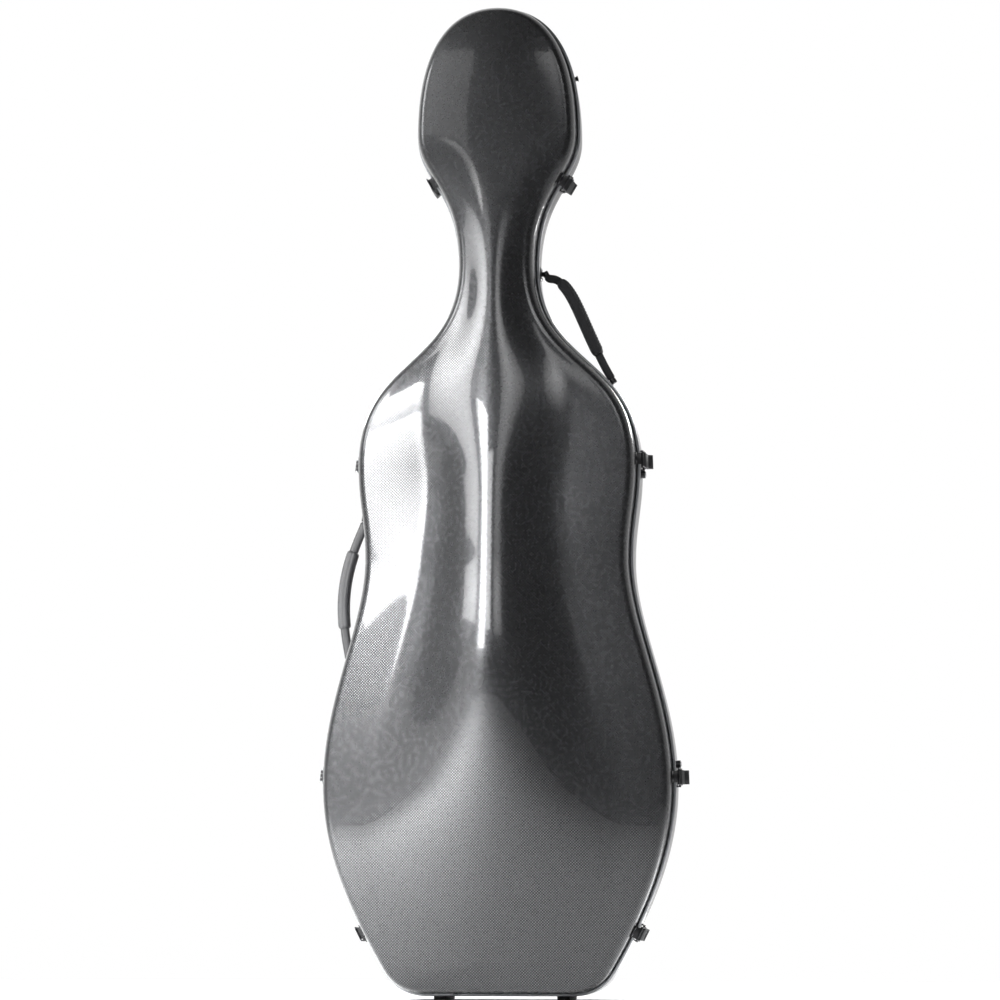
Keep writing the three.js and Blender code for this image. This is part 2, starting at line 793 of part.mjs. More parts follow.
function buildLatches(back, lid) {
  for (const place of latchPlaces) {
    const { name, side, size, flip } = place;
    const group = onLand(place.land, side);
    back.add(group);
    group.add(latchBase(`latch_base_${name}`, side, size, place.locked, flip));
    const lever = latchLever(`latch_lever_${name}`, side, size, flip);
    lever.add(latchBail(`latch_bail_${name}`, side, size));
    group.add(lever);
    if (place.locked) group.add(lockBarrel(`lock_barrel_${name}`, side, size, flip));
    const mate = onLand(place.land, side);
    mate.add(latchKeeper(`latch_keeper_${name}`, side, size, flip));
    lid.add(mate);
  }
}

// Hinges. Their common axis runs through the seam plane, just outside the beads.

const hinge = {
  barrel: 3.2,
  pin: 1.25,
  bore: 1.55,
  pinHead: 2.6,
  pinHeadLong: 1.2,
  clearance: 1.2,
  middleHalf: 2.5,
  endLong: 4,
  leaf: 1.5,
  leafHalf: 11,
  backTo: 30,
  lidTo: 29,
};

function hingeAxis() {
  const out = lidBeadOut + hinge.clearance + hinge.barrel;
  const [upper, lower] = [lands.upper, lands.lower].map((land) => {
    const frame = landFrame(land, -1);
    return frame.position.add(new THREE.Vector3(-out, 0, 0).applyAxisAngle(new THREE.Vector3(0, 1, 0), frame.tilt));
  });
  return { upper, lower, direction: upper.clone().sub(lower).normalize() };
}

function hingePieces(name, land, at, direction) {
  const frame = onLand(land, -1);
  frame.updateMatrix();
  const center = at.clone().applyMatrix4(frame.matrix.clone().invert());
  const local = direction.clone().transformDirection(frame.matrix.clone().invert());
  const turn = new THREE.Quaternion().setFromUnitVectors(new THREE.Vector3(0, 0, 1), local);
  const rod = (radius, length, middle, sides) => {
    const geometry = rodAlongZ(radius, length, sides).translate(0, 0, middle).applyQuaternion(turn);
    return geometry.translate(center.x, center.y, center.z);
  };
  const endMiddle = hinge.middleHalf + 2 * gap + hinge.endLong / 2;
  const fingerFrom = hinge.middleHalf + 2 * gap;
  const fingerTo = fingerFrom + hinge.endLong;
  const whole = 2 * fingerTo;
  const out = Math.abs(center.x);
  const bore = rod(hinge.bore, whole + overrun, 0, 10);

  const overBack = backBeadOut + gap + gap;
  const backProfile = [
    [gap, backBeadDepth + 2 * gap],
    [gap, hinge.backTo],
    [gap + hinge.leaf, hinge.backTo],
    [gap + hinge.leaf, backBeadDepth + 2 * gap + hinge.leaf],
    [overBack + hinge.leaf, backBeadDepth + 2 * gap + hinge.leaf],
    [overBack + hinge.leaf, hinge.barrel + hinge.leaf],
    [overBack, hinge.barrel + hinge.leaf],
    [overBack, backBeadDepth + 2 * gap],
  ];
  const backFinger = [
    [overBack, hinge.barrel + 2 * hinge.leaf],
    [overBack + hinge.leaf, hinge.barrel + 2 * hinge.leaf],
    [out, hinge.barrel - gap],
    [out - hinge.barrel / 2, hinge.leaf],
    [overBack, hinge.barrel],
  ];
  const backLeaf = cut(joined([
    alongEdge(-1, backProfile, -hinge.leafHalf, hinge.leafHalf),
    alongEdge(-1, backFinger, -fingerTo, -fingerFrom),
    alongEdge(-1, backFinger, fingerFrom, fingerTo),
    rod(hinge.barrel, hinge.endLong, endMiddle, 12),
    rod(hinge.barrel, hinge.endLong, -endMiddle, 12),
  ]), [bore]);

  const overLid = lidBeadOut + gap;
  const lidProfile = [
    [gap, -lidBeadDepth - 2 * gap],
    [gap, -hinge.lidTo],
    [gap + hinge.leaf, -hinge.lidTo],
    [gap + hinge.leaf, -lidBeadDepth - 2 * gap - hinge.leaf],
    [overLid + hinge.leaf, -lidBeadDepth - 2 * gap - hinge.leaf],
    [overLid + hinge.leaf, -hinge.barrel - hinge.leaf],
    [overLid, -hinge.barrel - hinge.leaf],
    [overLid, -lidBeadDepth - 2 * gap],
  ];
  const lidFinger = [
    [overLid, -hinge.barrel - 2 * hinge.leaf],
    [overLid + hinge.leaf, -hinge.barrel - 2 * hinge.leaf],
    [out, -hinge.barrel + gap],
    [out - hinge.barrel / 2, -hinge.leaf],
    [overLid, -hinge.leaf],
  ];
  const middleHalf = hinge.middleHalf - gap;
  const lidLeaf = cut(joined([
    alongEdge(-1, lidProfile, -hinge.leafHalf, hinge.leafHalf),
    alongEdge(-1, lidFinger, -middleHalf, middleHalf),
    rod(hinge.barrel, 2 * hinge.middleHalf, 0, 12),
  ]), [bore]);

  const headMiddle = fingerTo + gap + hinge.pinHeadLong / 2;
  const pin = joined([
    rod(hinge.pin, 2 * headMiddle, 0, 8),
    rod(hinge.pinHead, hinge.pinHeadLong, headMiddle, 10),
    rod(hinge.pinHead, hinge.pinHeadLong, -headMiddle, 10),
  ]);

  frame.add(piece(`hinge_leaf_back_${name}`, backLeaf, looks.metal));
  frame.add(piece(`hinge_pin_${name}`, pin, looks.steel));
  const mate = onLand(land, -1);
  mate.add(piece(`hinge_leaf_lid_${name}`, lidLeaf, looks.metal));
  return { frame, mate };
}

// Handles. Each turns in two eyes on the wall, about the line through its ends.

const armSteps = 2;
const gripSteps = 4;
const armSides = 10;

const handle = {
  back: 36,
  eyeRadius: 5,
  eyeHalf: 4,
  plate: 2,
  plateHalf: 12,
  plateDeep: 11,
  stub: 2.4,
  arm: 5.9,
  grip: 8.3,
  gripWideShare: 1.25,
  gripFromShare: 0.2,
  gripToShare: 0.8,
  rise: 17,
  leanPower: 1,
  archPower: 0.9,
};

const strap = {
  back: 27,
  eyeRadius: 4.5,
  eyeHalf: 3,
  plate: 2,
  plateHalf: 8.5,
  plateDeep: 9,
  stub: 2.2,
  arm: 5.6,
  grip: 8.2,
  gripWideShare: 1.6,
  gripFromShare: 0.22,
  gripToShare: 0.88,
  rise: 14,
  leanPower: 3.1,
  archPower: 0.45,
};

// The arms clear the plates that the eyes stand on
function eyeOut(size) {
  return gap + size.plate + gap + size.arm;
}

// An eye on a plate, whose bore lies along the line between the handle's ends
function handleEye(name, land, side, size, direction, material) {
  const group = onLand(land, side);
  group.updateMatrix();
  const local = direction.clone().transformDirection(group.matrix.clone().invert());
  const turn = new THREE.Quaternion().setFromUnitVectors(new THREE.Vector3(0, 0, 1), local);
  const place = (geometry) => geometry.applyQuaternion(turn).translate(side * eyeOut(size), size.back, 0);
  const plate = boxBetween(
    side,
    [gap, size.back - size.plateDeep, -size.plateHalf],
    [gap + size.plate, size.back + size.plateDeep, size.plateHalf],
  );
  const neck = boxBetween(
    side,
    [gap, size.back - size.eyeRadius / 2, -size.eyeHalf],
    [eyeOut(size), size.back + size.eyeRadius / 2, size.eyeHalf],
  );
  const eye = place(rodAlongZ(size.eyeRadius, 2 * size.eyeHalf, 12));
  const bore = place(rodAlongZ(size.stub + gap, 4 * size.eyeHalf, 10));
  group.add(piece(name, cut(joined([plate, neck, eye]), [bore]), material));
  return group;
}

function eyePoint(land, side, size) {
  const group = onLand(land, side);
  group.updateMatrix();
  return new THREE.Vector3(side * eyeOut(size), size.back, 0).applyMatrix4(group.matrix);
}

// The handle's middle line: straight stubs in the eyes, joined by an arch away from the case
function handleParts(names, from, to, side, size, materials) {
  const direction = to.clone().sub(from).normalize();
  const outwards = new THREE.Vector3(side, 0, 0);
  outwards.addScaledVector(direction, -outwards.dot(direction)).normalize();
  const span = from.distanceTo(to);
  const at = (along, out) => new THREE.Vector3(out, 0, along);
  const free = size.eyeHalf + 2 * gap;
  const turnIn = free + size.arm;
  const arch = archShares(size).map((share) => {
    const out = size.rise * Math.sin(Math.PI * share ** size.leanPower) ** size.archPower;
    return at(turnIn + (span - 2 * turnIn) * share, out);
  });
  const armPath = [at(free, 0), ...arch, at(span - free, 0)];
  const stubs = [[at(-size.eyeHalf, 0), at(turnIn, 0)], [at(span - turnIn, 0), at(span + size.eyeHalf, 0)]];
  const core = joined([
    wireThrough(armPath, size.arm, armSides),
    ...stubs.map((path) => wireThrough(path, size.stub, armSides)),
  ]);
  const gripPath = arch.slice(armSteps, armSteps + gripSteps + 1);
  const grip = cut(
    wireThrough(gripPath, size.grip, armSides).scale(1, size.gripWideShare, 1),
    [wireThrough(extended(gripPath, size.arm), size.arm + gap, armSides)],
  );
  const pivot = new THREE.Group();
  pivot.name = `${names.core}_pivot`;
  pivot.position.copy(from);
  const basis = new THREE.Matrix4().makeBasis(outwards, direction.clone().cross(outwards), direction);
  pivot.quaternion.setFromRotationMatrix(basis);
  pivot.add(piece(names.core, core, materials.core), piece(names.grip, grip, materials.grip));
  return pivot;
}

// Where the arch has its corners, from the lower end to the upper
function archShares(size) {
  const run = (from, to, count) => Array.from({ length: count }, (_, i) => from + ((to - from) * i) / count);
  return [
    ...run(0, size.gripFromShare, armSteps),
    ...run(size.gripFromShare, size.gripToShare, gripSteps),
    ...run(size.gripToShare, 1, armSteps),
    1,
  ];
}

function extended(path, length) {
  const first = path[0].clone().addScaledVector(path[0].clone().sub(path[1]).normalize(), length);
  const end = path.length - 1;
  const last = path[end].clone().addScaledVector(path[end].clone().sub(path[end - 1]).normalize(), length);
  return [first, ...path, last];
}

function buildHandles(back) {
  const low = eyePoint(lands.handleLow, -1, handle);
  const high = eyePoint(lands.handleHigh, -1, handle);
  const side = high.clone().sub(low).normalize();
  back.add(handleEye('side_handle_bracket_low', lands.handleLow, -1, handle, side, looks.metal));
  back.add(handleEye('side_handle_bracket_high', lands.handleHigh, -1, handle, side, looks.metal));
  back.add(handleParts(
    { core: 'side_handle_core', grip: 'side_handle_grip' }, low, high, -1, handle,
    { core: looks.plastic, grip: looks.rubber },
  ));
  const shoulder = eyePoint(lands.shoulder, 1, strap);
  const neck = eyePoint(lands.neck, 1, strap);
  const line = neck.clone().sub(shoulder).normalize();
  back.add(handleEye('shoulder_strap_anchor_low', lands.shoulder, 1, strap, line, looks.metal));
  back.add(handleEye('shoulder_strap_anchor_high', lands.neck, 1, strap, line, looks.metal));
  back.add(handleParts(
    { core: 'shoulder_strap', grip: 'shoulder_strap_sleeve' }, shoulder, neck, 1, strap,
    { core: looks.webbing, grip: looks.webbing },
  ));
}

// Small studs at the sides of the head

const stud = { back: 22, baseRadius: 6, neckRadius: 3, headRadius: 4.6, base: 1.6, out: 7, head: 2 };

function headStud(name, side) {
  const profile = [
    [0, gap],
    [stud.baseRadius, gap],
    [stud.baseRadius, gap + stud.base],
    [stud.neckRadius, gap + stud.base + stud.base / 2],
    [stud.neckRadius, stud.out - stud.head],
    [stud.headRadius, stud.out - stud.head / 2],
    [stud.neckRadius, stud.out],
    [0, stud.out],
  ].map(([radius, out]) => new THREE.Vector2(radius, out));
  const geometry = new THREE.LatheGeometry(profile, 12).rotateZ(-side * quarter).translate(0, stud.back, 0);
  const group = onLand(lands.stud, side);
  group.add(piece(name, geometry, looks.metal));
  return group;
}

// Rays find the faces that inner and hidden pieces are seated on

function surfaceHit(mesh, from, direction) {
  mesh.updateMatrixWorld(true);
  const copy = new THREE.Mesh(mesh.geometry, new THREE.MeshBasicMaterial({ side: THREE.DoubleSide }));
  const hits = new THREE.Raycaster(from, direction).intersectObject(copy);
  return hits[0];
}

// How far a round foot must stand off the face at a point, so that no part of it cuts in
function liftOver(mesh, point, normal, radius) {
  const across = new THREE.Vector3(1, 0, 0).cross(normal).normalize();
  const up = normal.clone().cross(across);
  const proud = [];
  for (let i = 0; i < liftRays; i += 1) {
    const angle = (i / liftRays) * full;
    const from = point.clone()
      .addScaledVector(across, radius * Math.cos(angle))
      .addScaledVector(up, radius * Math.sin(angle))
      .addScaledVector(normal, radius);
    proud.push(radius - surfaceHit(mesh, from, normal.clone().negate()).distance);
  }
  return Math.max(0, ...proud);
}

const liftRays = 12;

// Strap rings: a plate with a rolled eye on the back of the case, and a ring that hangs in it

const strapRing = {
  half: 105,
  aboveLowerBout: 38,
  plateHalfWide: 17,
  plateHalfHigh: 12,
  plate: 2,
  eyeRadius: 4.4,
  eyeHalf: 9,
  eyeOut: 5.2,
  wire: 2,
  ringHalf: 15,
  ringDrop: 24,
  roundWideShare: 0.7,
  roundDropShare: 0.86,
  lean: 12,
};

function buildStrapRings(back, shell) {
  const ringHeight = lowerBoutHeight + strapRing.aboveLowerBout;
  for (const [name, side] of [['left', -1], ['right', 1]]) {
    const behind = new THREE.Vector3(side * strapRing.half, topHeight, ringHeight);
    const toFront = new THREE.Vector3(0, -1, 0);
    const hit = surfaceHit(shell, behind, toFront);
    const normal = hit.face.normal.clone();
    const across = new THREE.Vector3(0, 0, 1).cross(normal).normalize();
    const up = normal.clone().cross(across);
    const basis = new THREE.Matrix4().makeBasis(across, up, normal);
    const corners = [[-1, -1], [1, -1], [-1, 1], [1, 1], [0, 1], [0, -1], [-1, 0], [1, 0]];
    const proud = corners.map(([x, y]) => {
      const from = hit.point.clone()
        .addScaledVector(across, x * strapRing.plateHalfWide)
        .addScaledVector(up, y * strapRing.plateHalfHigh)
        .addScaledVector(normal, strapRing.ringDrop);
      return strapRing.ringDrop - surfaceHit(shell, from, normal.clone().negate()).distance;
    });
    const lift = Math.max(0, ...proud) + gap;
    const group = new THREE.Group();
    group.quaternion.setFromRotationMatrix(basis);
    group.position.copy(hit.point).addScaledVector(normal, lift);
    const plate = new THREE.BoxGeometry(2 * strapRing.plateHalfWide, 2 * strapRing.plateHalfHigh, strapRing.plate);
    plate.translate(0, 0, strapRing.plate / 2);
    const eye = new THREE.CylinderGeometry(strapRing.eyeRadius, strapRing.eyeRadius, 2 * strapRing.eyeHalf, 12);
    eye.rotateZ(quarter).translate(0, 0, strapRing.eyeOut);
    const bore = new THREE.CylinderGeometry(strapRing.wire + gap, strapRing.wire + gap, 3 * strapRing.eyeHalf, 10);
    bore.rotateZ(quarter).translate(0, 0, strapRing.eyeOut);
    group.add(piece(`strap_plate_${name}`, cut(joined([plate, eye]), [bore]), looks.metal));
    group.add(ringIn(`strap_ring_${name}`));
    back.add(group);
  }
}

function ringIn(name) {
  const pivot = new THREE.Group();
  pivot.name = `${name}_pivot`;
  pivot.position.set(0, 0, strapRing.eyeOut);
  const { ringHalf, ringDrop, wire } = strapRing;
  const lean = THREE.MathUtils.degToRad(strapRing.lean);
  const corner = (x, y) => new THREE.Vector3(x, -y * Math.cos(lean), y * Math.sin(lean));
  const roundWide = ringHalf * strapRing.roundWideShare;
  const roundDrop = ringDrop * strapRing.roundDropShare;
  const points = [
    corner(-ringHalf + wire, 0), corner(ringHalf - wire, 0), corner(ringHalf, wire),
    corner(ringHalf, ringDrop / 2), corner(roundWide, roundDrop), corner(0, ringDrop),
    corner(-roundWide, roundDrop), corner(-ringHalf, ringDrop / 2), corner(-ringHalf, wire),
  ];
  pivot.add(piece(name, closedWire(points, wire, 8), looks.steel));
  return pivot;
}

// A closed wire through points that lie in one plane
function closedWire(points, radius, sides) {
  const normal = points[1].clone().sub(points[0]).cross(points[5].clone().sub(points[0])).normalize();
  const rings = points.map((point, i) => {
    const before = points[(i + points.length - 1) % points.length];
    const after = points[(i + 1) % points.length];
    const one = point.clone().sub(before).normalize();
    const two = after.clone().sub(point).normalize();
    const along = one.clone().add(two).normalize();
    const across = normal.clone().cross(along).normalize().divideScalar(along.dot(one));
    const ring = [];
    for (let k = 0; k < sides; k += 1) {
      const angle = (k / sides) * full;
      ring.push(point.clone()
        .addScaledVector(across, radius * Math.cos(angle))
        .addScaledVector(normal, radius * Math.sin(angle)));
    }
    return ring;
  });
  return meshOfRings(rings, true);
}

// Rubber runners that the case stands on

const runner = { half: 85, width: 17, from: 14, to: 96 };

// Turns a drawing of (y, z) points, drawn flat, to stand across the case
const acrossCase = new THREE.Matrix4().makeBasis(
  new THREE.Vector3(0, 1, 0),
  new THREE.Vector3(0, 0, 1),
  new THREE.Vector3(1, 0, 0),
);

function buildRunners(back, shell) {
  const up = new THREE.Vector3(0, 0, 1);
  for (const [name, side] of [['left', -1], ['right', 1]]) {
    const top = [runner.to, backWallDepth, runner.from].map((y) => {
      const below = new THREE.Vector3(side * runner.half, y, -bottomHeight);
      return [y, surfaceHit(shell, below, up).point.z - gap];
    });
    const outline = [[runner.from, 0], [runner.to, 0], ...top];
    const shape = new THREE.Shape(outline.map(([y, z]) => new THREE.Vector2(y, z)));
    const geometry = new THREE.ExtrudeGeometry(shape, { depth: runner.width, bevelEnabled: false });
    geometry.translate(0, 0, side * runner.half - runner.width / 2).applyMatrix4(acrossCase);
    back.add(piece(`rubber_foot_${name}`, geometry, looks.rubber));
  }
}

// Inside the back shell: a cradle for the neck with its strap, and a rest for the lower end

const cradle = { belowNeck: 20, half: 30, width: 49, lip: 4, rise: 30, clearance: 1 };
const neckStrap = { wide: 38, thick: 2.4, over: 12, down: 18, flat: 15 };
const endRest = { half: 75, from: 20, to: 62, high: 40, notch: 15, clearance: 1 };

const cradleHeight = neckHeight - cradle.belowNeck;

function floorUnder(liner, x, height) {
  return surfaceHit(liner, new THREE.Vector3(x, shellEdge, height), new THREE.Vector3(0, 1, 0)).point.y;
}

function neckCradle(liner) {
  const halfWide = cradle.width / 2;
  const reach = [-1, 0, 1];
  const floors = reach.flatMap((i) => reach.map((k) => (
    floorUnder(liner, i * halfWide, cradleHeight + k * cradle.half)
  )));
  const floor = Math.min(...floors) - cradle.clearance;
  const top = floor - cradle.rise;
  const shape = new THREE.Shape();
  shape.moveTo(-halfWide, floor);
  shape.lineTo(halfWide, floor);
  shape.lineTo(halfWide, top);
  shape.absarc(0, top, halfWide - cradle.lip, 0, Math.PI, false);
  shape.lineTo(-halfWide, top);
  const geometry = new THREE.ExtrudeGeometry(shape, {
    depth: 2 * cradle.half,
    bevelEnabled: false,
    curveSegments: 8,
  });
  geometry.translate(0, 0, cradleHeight - cradle.half);
  return { cradlePiece: piece('neck_cradle', geometry, looks.foam), top };
}

// The strap bridges the trough and comes down both sides of the cradle
function cradleStrap(top) {
  const inside = cradle.width / 2 + gap;
  const outside = inside + neckStrap.thick;
  const right = [
    [inside, top + neckStrap.down],
    [outside, top + neckStrap.down],
    [outside, top - gap],
    [neckStrap.flat, top - neckStrap.over - neckStrap.thick],
  ];
  const rightInside = [
    [neckStrap.flat, top - neckStrap.over],
    [inside, top - gap],
  ];
  const mirrored = (points) => points.map(([x, y]) => [-x, y]).reverse();
  const outline = [...right, ...mirrored(right), ...mirrored(rightInside), ...rightInside];
  const shape = new THREE.Shape(outline.map(([x, y]) => new THREE.Vector2(x, y)));
  const geometry = new THREE.ExtrudeGeometry(shape, { depth: neckStrap.wide, bevelEnabled: false });
  return piece('neck_strap', geometry.translate(0, 0, cradleHeight - neckStrap.wide / 2), looks.webbing);
}

// The rest stands on the bottom lining, with a groove for the end button
function lowerRest(liner) {
  const middle = (endRest.from + endRest.to) / 2;
  const down = new THREE.Vector3(0, 0, -1);
  const bottom = [endRest.from, middle, endRest.to].map((y) => {
    const from = new THREE.Vector3(0, y, bottomHeight + shellWall + backLinerWall + endRest.high);
    return [y, surfaceHit(liner, from, down).point.z + endRest.clearance];
  });
  const top = bottom[0][1] + endRest.high;
  const outline = [...bottom, [endRest.to, top], [endRest.from, top]];
  const shape = new THREE.Shape(outline.map(([y, z]) => new THREE.Vector2(y, z)));
  const block = new THREE.ExtrudeGeometry(shape, { depth: 2 * endRest.half, bevelEnabled: false });
  block.translate(0, 0, -endRest.half).applyMatrix4(acrossCase);
  const notch = rodAlongZ(endRest.notch, 3 * endRest.high, 16).translate(0, endRest.from, top);
  return piece('end_rest', cut(block, [notch]), looks.foam);
}

// Two clips on the lid's lining, which turn over a bow stick each

const bowClip = {
  half: 62,
  aboveBridge: 38,
  footRadius: 8,
  footHigh: 11,
  barHalf: 23,
  barHalfWide: 6,
  bar: 5,
};

function buildBowClips(lid, liner) {
  const straightIn = new THREE.Vector3(0, -1, 0);
  const clipHeight = bridgeHeight + bowClip.aboveBridge;
  for (const [name, side] of [['left', -1], ['right', 1]]) {
    const hit = surfaceHit(liner, new THREE.Vector3(side * bowClip.half, -shellEdge, clipHeight), straightIn);
    const normal = hit.face.normal.clone();
    if (normal.y < 0) normal.negate();
    const lift = liftOver(liner, hit.point, normal, bowClip.footRadius);
    const foot = new THREE.CylinderGeometry(bowClip.footRadius, bowClip.footRadius, bowClip.footHigh, 12);
    foot.translate(0, bowClip.footHigh / 2, 0);
    const bar = new THREE.BoxGeometry(2 * bowClip.barHalfWide, bowClip.bar, 2 * bowClip.barHalf);
    bar.translate(0, bowClip.footHigh + bowClip.bar / 2 - gap, 0);
    const pivot = new THREE.Group();
    pivot.name = `bow_clip_${name}_pivot`;
    pivot.quaternion.setFromUnitVectors(new THREE.Vector3(0, 1, 0), normal);
    pivot.position.copy(hit.point).addScaledVector(normal, lift + gap);
    pivot.add(piece(`bow_clip_${name}`, joined([foot, bar]), looks.plastic));
    lid.add(pivot);
  }
}

// Assembly

function build() {
  const model = new THREE.Group();
  const back = new THREE.Group();
  const lid = new THREE.Group();
  model.add(back);
  const rims = rimPieces();
  const shell = backShell();
  const liner = backLiner();
  back.add(shell, rims.back, rims.seal, liner);
  const axis = hingeAxis();
  lid.name = 'lid_pivot';
  const lidPieces = new THREE.Group();
  const lining = lidLiner();
  lidPieces.add(lidShell(), rims.lid, lining);
  buildBowClips(lidPieces, lining);
  buildLatches(back, lidPieces);
  for (const [name, land, at] of [['upper', lands.upper, axis.upper], ['lower', lands.lower, axis.lower]]) {
    const { frame, mate } = hingePieces(name, land, at, axis.direction);
    back.add(frame);
    lidPieces.add(mate);
  }
  lid.position.copy(axis.lower);
  lid.quaternion.setFromUnitVectors(new THREE.Vector3(0, 0, 1), axis.direction);
  back.add(lid, lidPieces);
  lid.attach(lidPieces);
  buildHandles(back);
  back.add(headStud('head_stud_left', -1), headStud('head_stud_right', 1));
  buildStrapRings(back, shell);
  buildRunners(back, shell);
  const { cradlePiece, top } = neckCradle(liner);
  back.add(cradlePiece, cradleStrap(top), lowerRest(liner));
  return model;
}

const caseModel = build();

// The origin is the middle of the box round the case, at its bottom
const box = new THREE.Box3().setFromObject(caseModel, true);
const middle = box.getCenter(new THREE.Vector3());
for (const child of caseModel.children) child.position.sub(new THREE.Vector3(middle.x, middle.y, box.min.z));

export default caseModel;
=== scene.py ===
import math

import bmesh
import bpy
import numpy as np
from mathutils import Matrix, Vector
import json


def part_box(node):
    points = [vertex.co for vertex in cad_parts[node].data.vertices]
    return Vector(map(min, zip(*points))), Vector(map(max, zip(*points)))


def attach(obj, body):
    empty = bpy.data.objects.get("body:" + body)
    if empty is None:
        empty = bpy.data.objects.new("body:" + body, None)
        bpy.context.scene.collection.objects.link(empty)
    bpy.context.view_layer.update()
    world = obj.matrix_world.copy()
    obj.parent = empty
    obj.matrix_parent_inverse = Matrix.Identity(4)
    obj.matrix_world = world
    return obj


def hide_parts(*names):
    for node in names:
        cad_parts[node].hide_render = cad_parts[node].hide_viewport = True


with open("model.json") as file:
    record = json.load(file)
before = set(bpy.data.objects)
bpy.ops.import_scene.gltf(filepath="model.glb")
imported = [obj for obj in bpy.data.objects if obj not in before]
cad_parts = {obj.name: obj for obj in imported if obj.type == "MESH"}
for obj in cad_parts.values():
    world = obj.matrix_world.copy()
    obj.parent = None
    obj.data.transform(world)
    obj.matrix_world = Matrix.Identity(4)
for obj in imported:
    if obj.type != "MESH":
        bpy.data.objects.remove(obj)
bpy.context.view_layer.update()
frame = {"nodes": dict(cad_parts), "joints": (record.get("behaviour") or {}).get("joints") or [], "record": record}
mm = 0.001
print("the packed case is loaded")

seamGap = 0.3  # millimetres between the seam and each bead
lidShellLow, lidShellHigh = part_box("lid_shell")
middleX = (lidShellLow.x + lidShellHigh.x) / 2
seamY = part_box("lid_rim")[1].y + seamGap * mm


# Shader maths: a socket that sums, products and comparisons can be written with

class Wire:
    def __init__(self, tree, socket):
        self.tree = tree
        self.socket = socket

    def maths(self, operation, *values):
        node = self.tree.nodes.new("ShaderNodeMath")
        node.operation = operation
        for place, value in zip(node.inputs, values):
            feed(self.tree, place, value)
        return Wire(self.tree, node.outputs[0])

    def __add__(self, other):
        return self.maths("ADD", self, other)

    def __sub__(self, other):
        return self.maths("SUBTRACT", self, other)

    def __rsub__(self, other):
        return self.maths("SUBTRACT", other, self)

    def __mul__(self, other):
        return self.maths("MULTIPLY", self, other)

    def __truediv__(self, other):
        return self.maths("DIVIDE", self, other)

    def __rtruediv__(self, other):
        return self.maths("DIVIDE", other, self)

    def __pow__(self, other):
        return self.maths("POWER", self, other)

    def __rpow__(self, other):
        return self.maths("POWER", other, self)

    def __gt__(self, other):
        return self.maths("GREATER_THAN", self, other)

    def floor(self):
        return self.maths("FLOOR", self)

    def fract(self):
        return self.maths("FRACT", self)

    def sine(self):
        return self.maths("SINE", self)

    __radd__ = __add__
    __rmul__ = __mul__


def feed(tree, socket, value):
    if isinstance(value, Wire):
        tree.links.new(value.socket, socket)
    else:
        socket.default_value = value


# Any other node, from its type, its settings and what its sockets get

class Nodes:
    def __init__(self, tree):
        self.tree = tree

    def node(self, kind, settings, values, out=0):
        made = self.tree.nodes.new(kind)
        for key, value in settings.items():
            setattr(made, key, value)
        for key, value in values.items():
            feed(self.tree, made.inputs[key], value)
        return Wire(self.tree, made.outputs[out])

    def parts(self, wire):
        split = self.node("ShaderNodeSeparateXYZ", {}, {0: wire}).socket.node
        return [Wire(self.tree, output) for output in split.outputs]


# Camera

camera = {
    "azimuth": 8.0,            # degrees to the right of the lid's middle
    "elevation": -5.2,         # it stands lower than it aims, a little above the floor
    "distance": 6.2,
    "pixelSize": 1.3745 * mm,  # what one pixel of the frame covers at the seam
    "frameWidth": 1000,
    "sensorWidth": 36,
    "aimX": -3.0 * mm,
    "aimZ": 683.7 * mm,
    "farthest": 100,
}


def lookAt(obj, target):
    direction = Vector(target) - obj.location
    obj.rotation_euler = direction.to_track_quat("-Z", "Y").to_euler()


def makeCamera():
    data = bpy.data.cameras.new("camera")
    obj = bpy.data.objects.new("camera", data)
    bpy.context.scene.collection.objects.link(obj)
    azimuth = math.radians(camera["azimuth"])
    elevation = math.radians(camera["elevation"])
    target = Vector((camera["aimX"], seamY, camera["aimZ"]))
    back = Vector((
        math.sin(azimuth) * math.cos(elevation),
        -math.cos(azimuth) * math.cos(elevation),
        math.sin(elevation),
    ))
    obj.location = target + back * camera["distance"]
    lookAt(obj, target)
    data.sensor_width = camera["sensorWidth"]
    data.lens = data.sensor_width * camera["distance"] / (camera["frameWidth"] * camera["pixelSize"])
    data.clip_end = camera["farthest"]
    bpy.context.scene.camera = obj


# Lamps

# name: direction from the lid in degrees (minus is left), distance, height, width, height of the lamp,
# brightness, spread in degrees (a grid before the lamp keeps its light narrow), and the height it aims at
lamps = {
    "windowLow": (-24, 2.0, 0.925, 0.76, 0.35, 27, 30, 0.50),
    "windowHigh": (-24, 2.0, 1.285, 0.76, 0.37, 42, 30, 0.46),
    "middleWindow": (-4, 2.0, 1.17, 0.60, 0.34, 9, 48, 0.42),
    "highWindow": (-57, 2.0, 1.54, 1.05, 1.00, 11.0, 60, 0.58),
    "upperWall": (-30, 2.1, 1.80, 0.90, 0.60, 0.9, 179, 1.80),
    "leftWall": (-40, 2.1, 0.44, 1.7, 0.84, 1.1, 179, 0.44),
    "rightCard": (24, 2.0, 1.48, 0.80, 1.05, 3.6, 32, 0.60),
}
# name: place, width, depth, watts, spread; these face down
floorLamps = {
    "leftFloorLamp": ((-1.1, -1.25, 1.1), 0.8, 1.6, 76, 140),
    "backFloorLamp": ((0, 1.3, 1.1), 1.8, 0.6, 44, 179),
}


def addLamp(name, place, target, width, height, watts, spread):
    data = bpy.data.lights.new(name, "AREA")
    data.shape = "RECTANGLE"
    data.size = width
    data.size_y = height
    data.energy = watts
    data.spread = math.radians(spread)
    obj = bpy.data.objects.new(name, data)
    bpy.context.scene.collection.objects.link(obj)
    obj.location = place
    obj.visible_camera = False
    lookAt(obj, target)


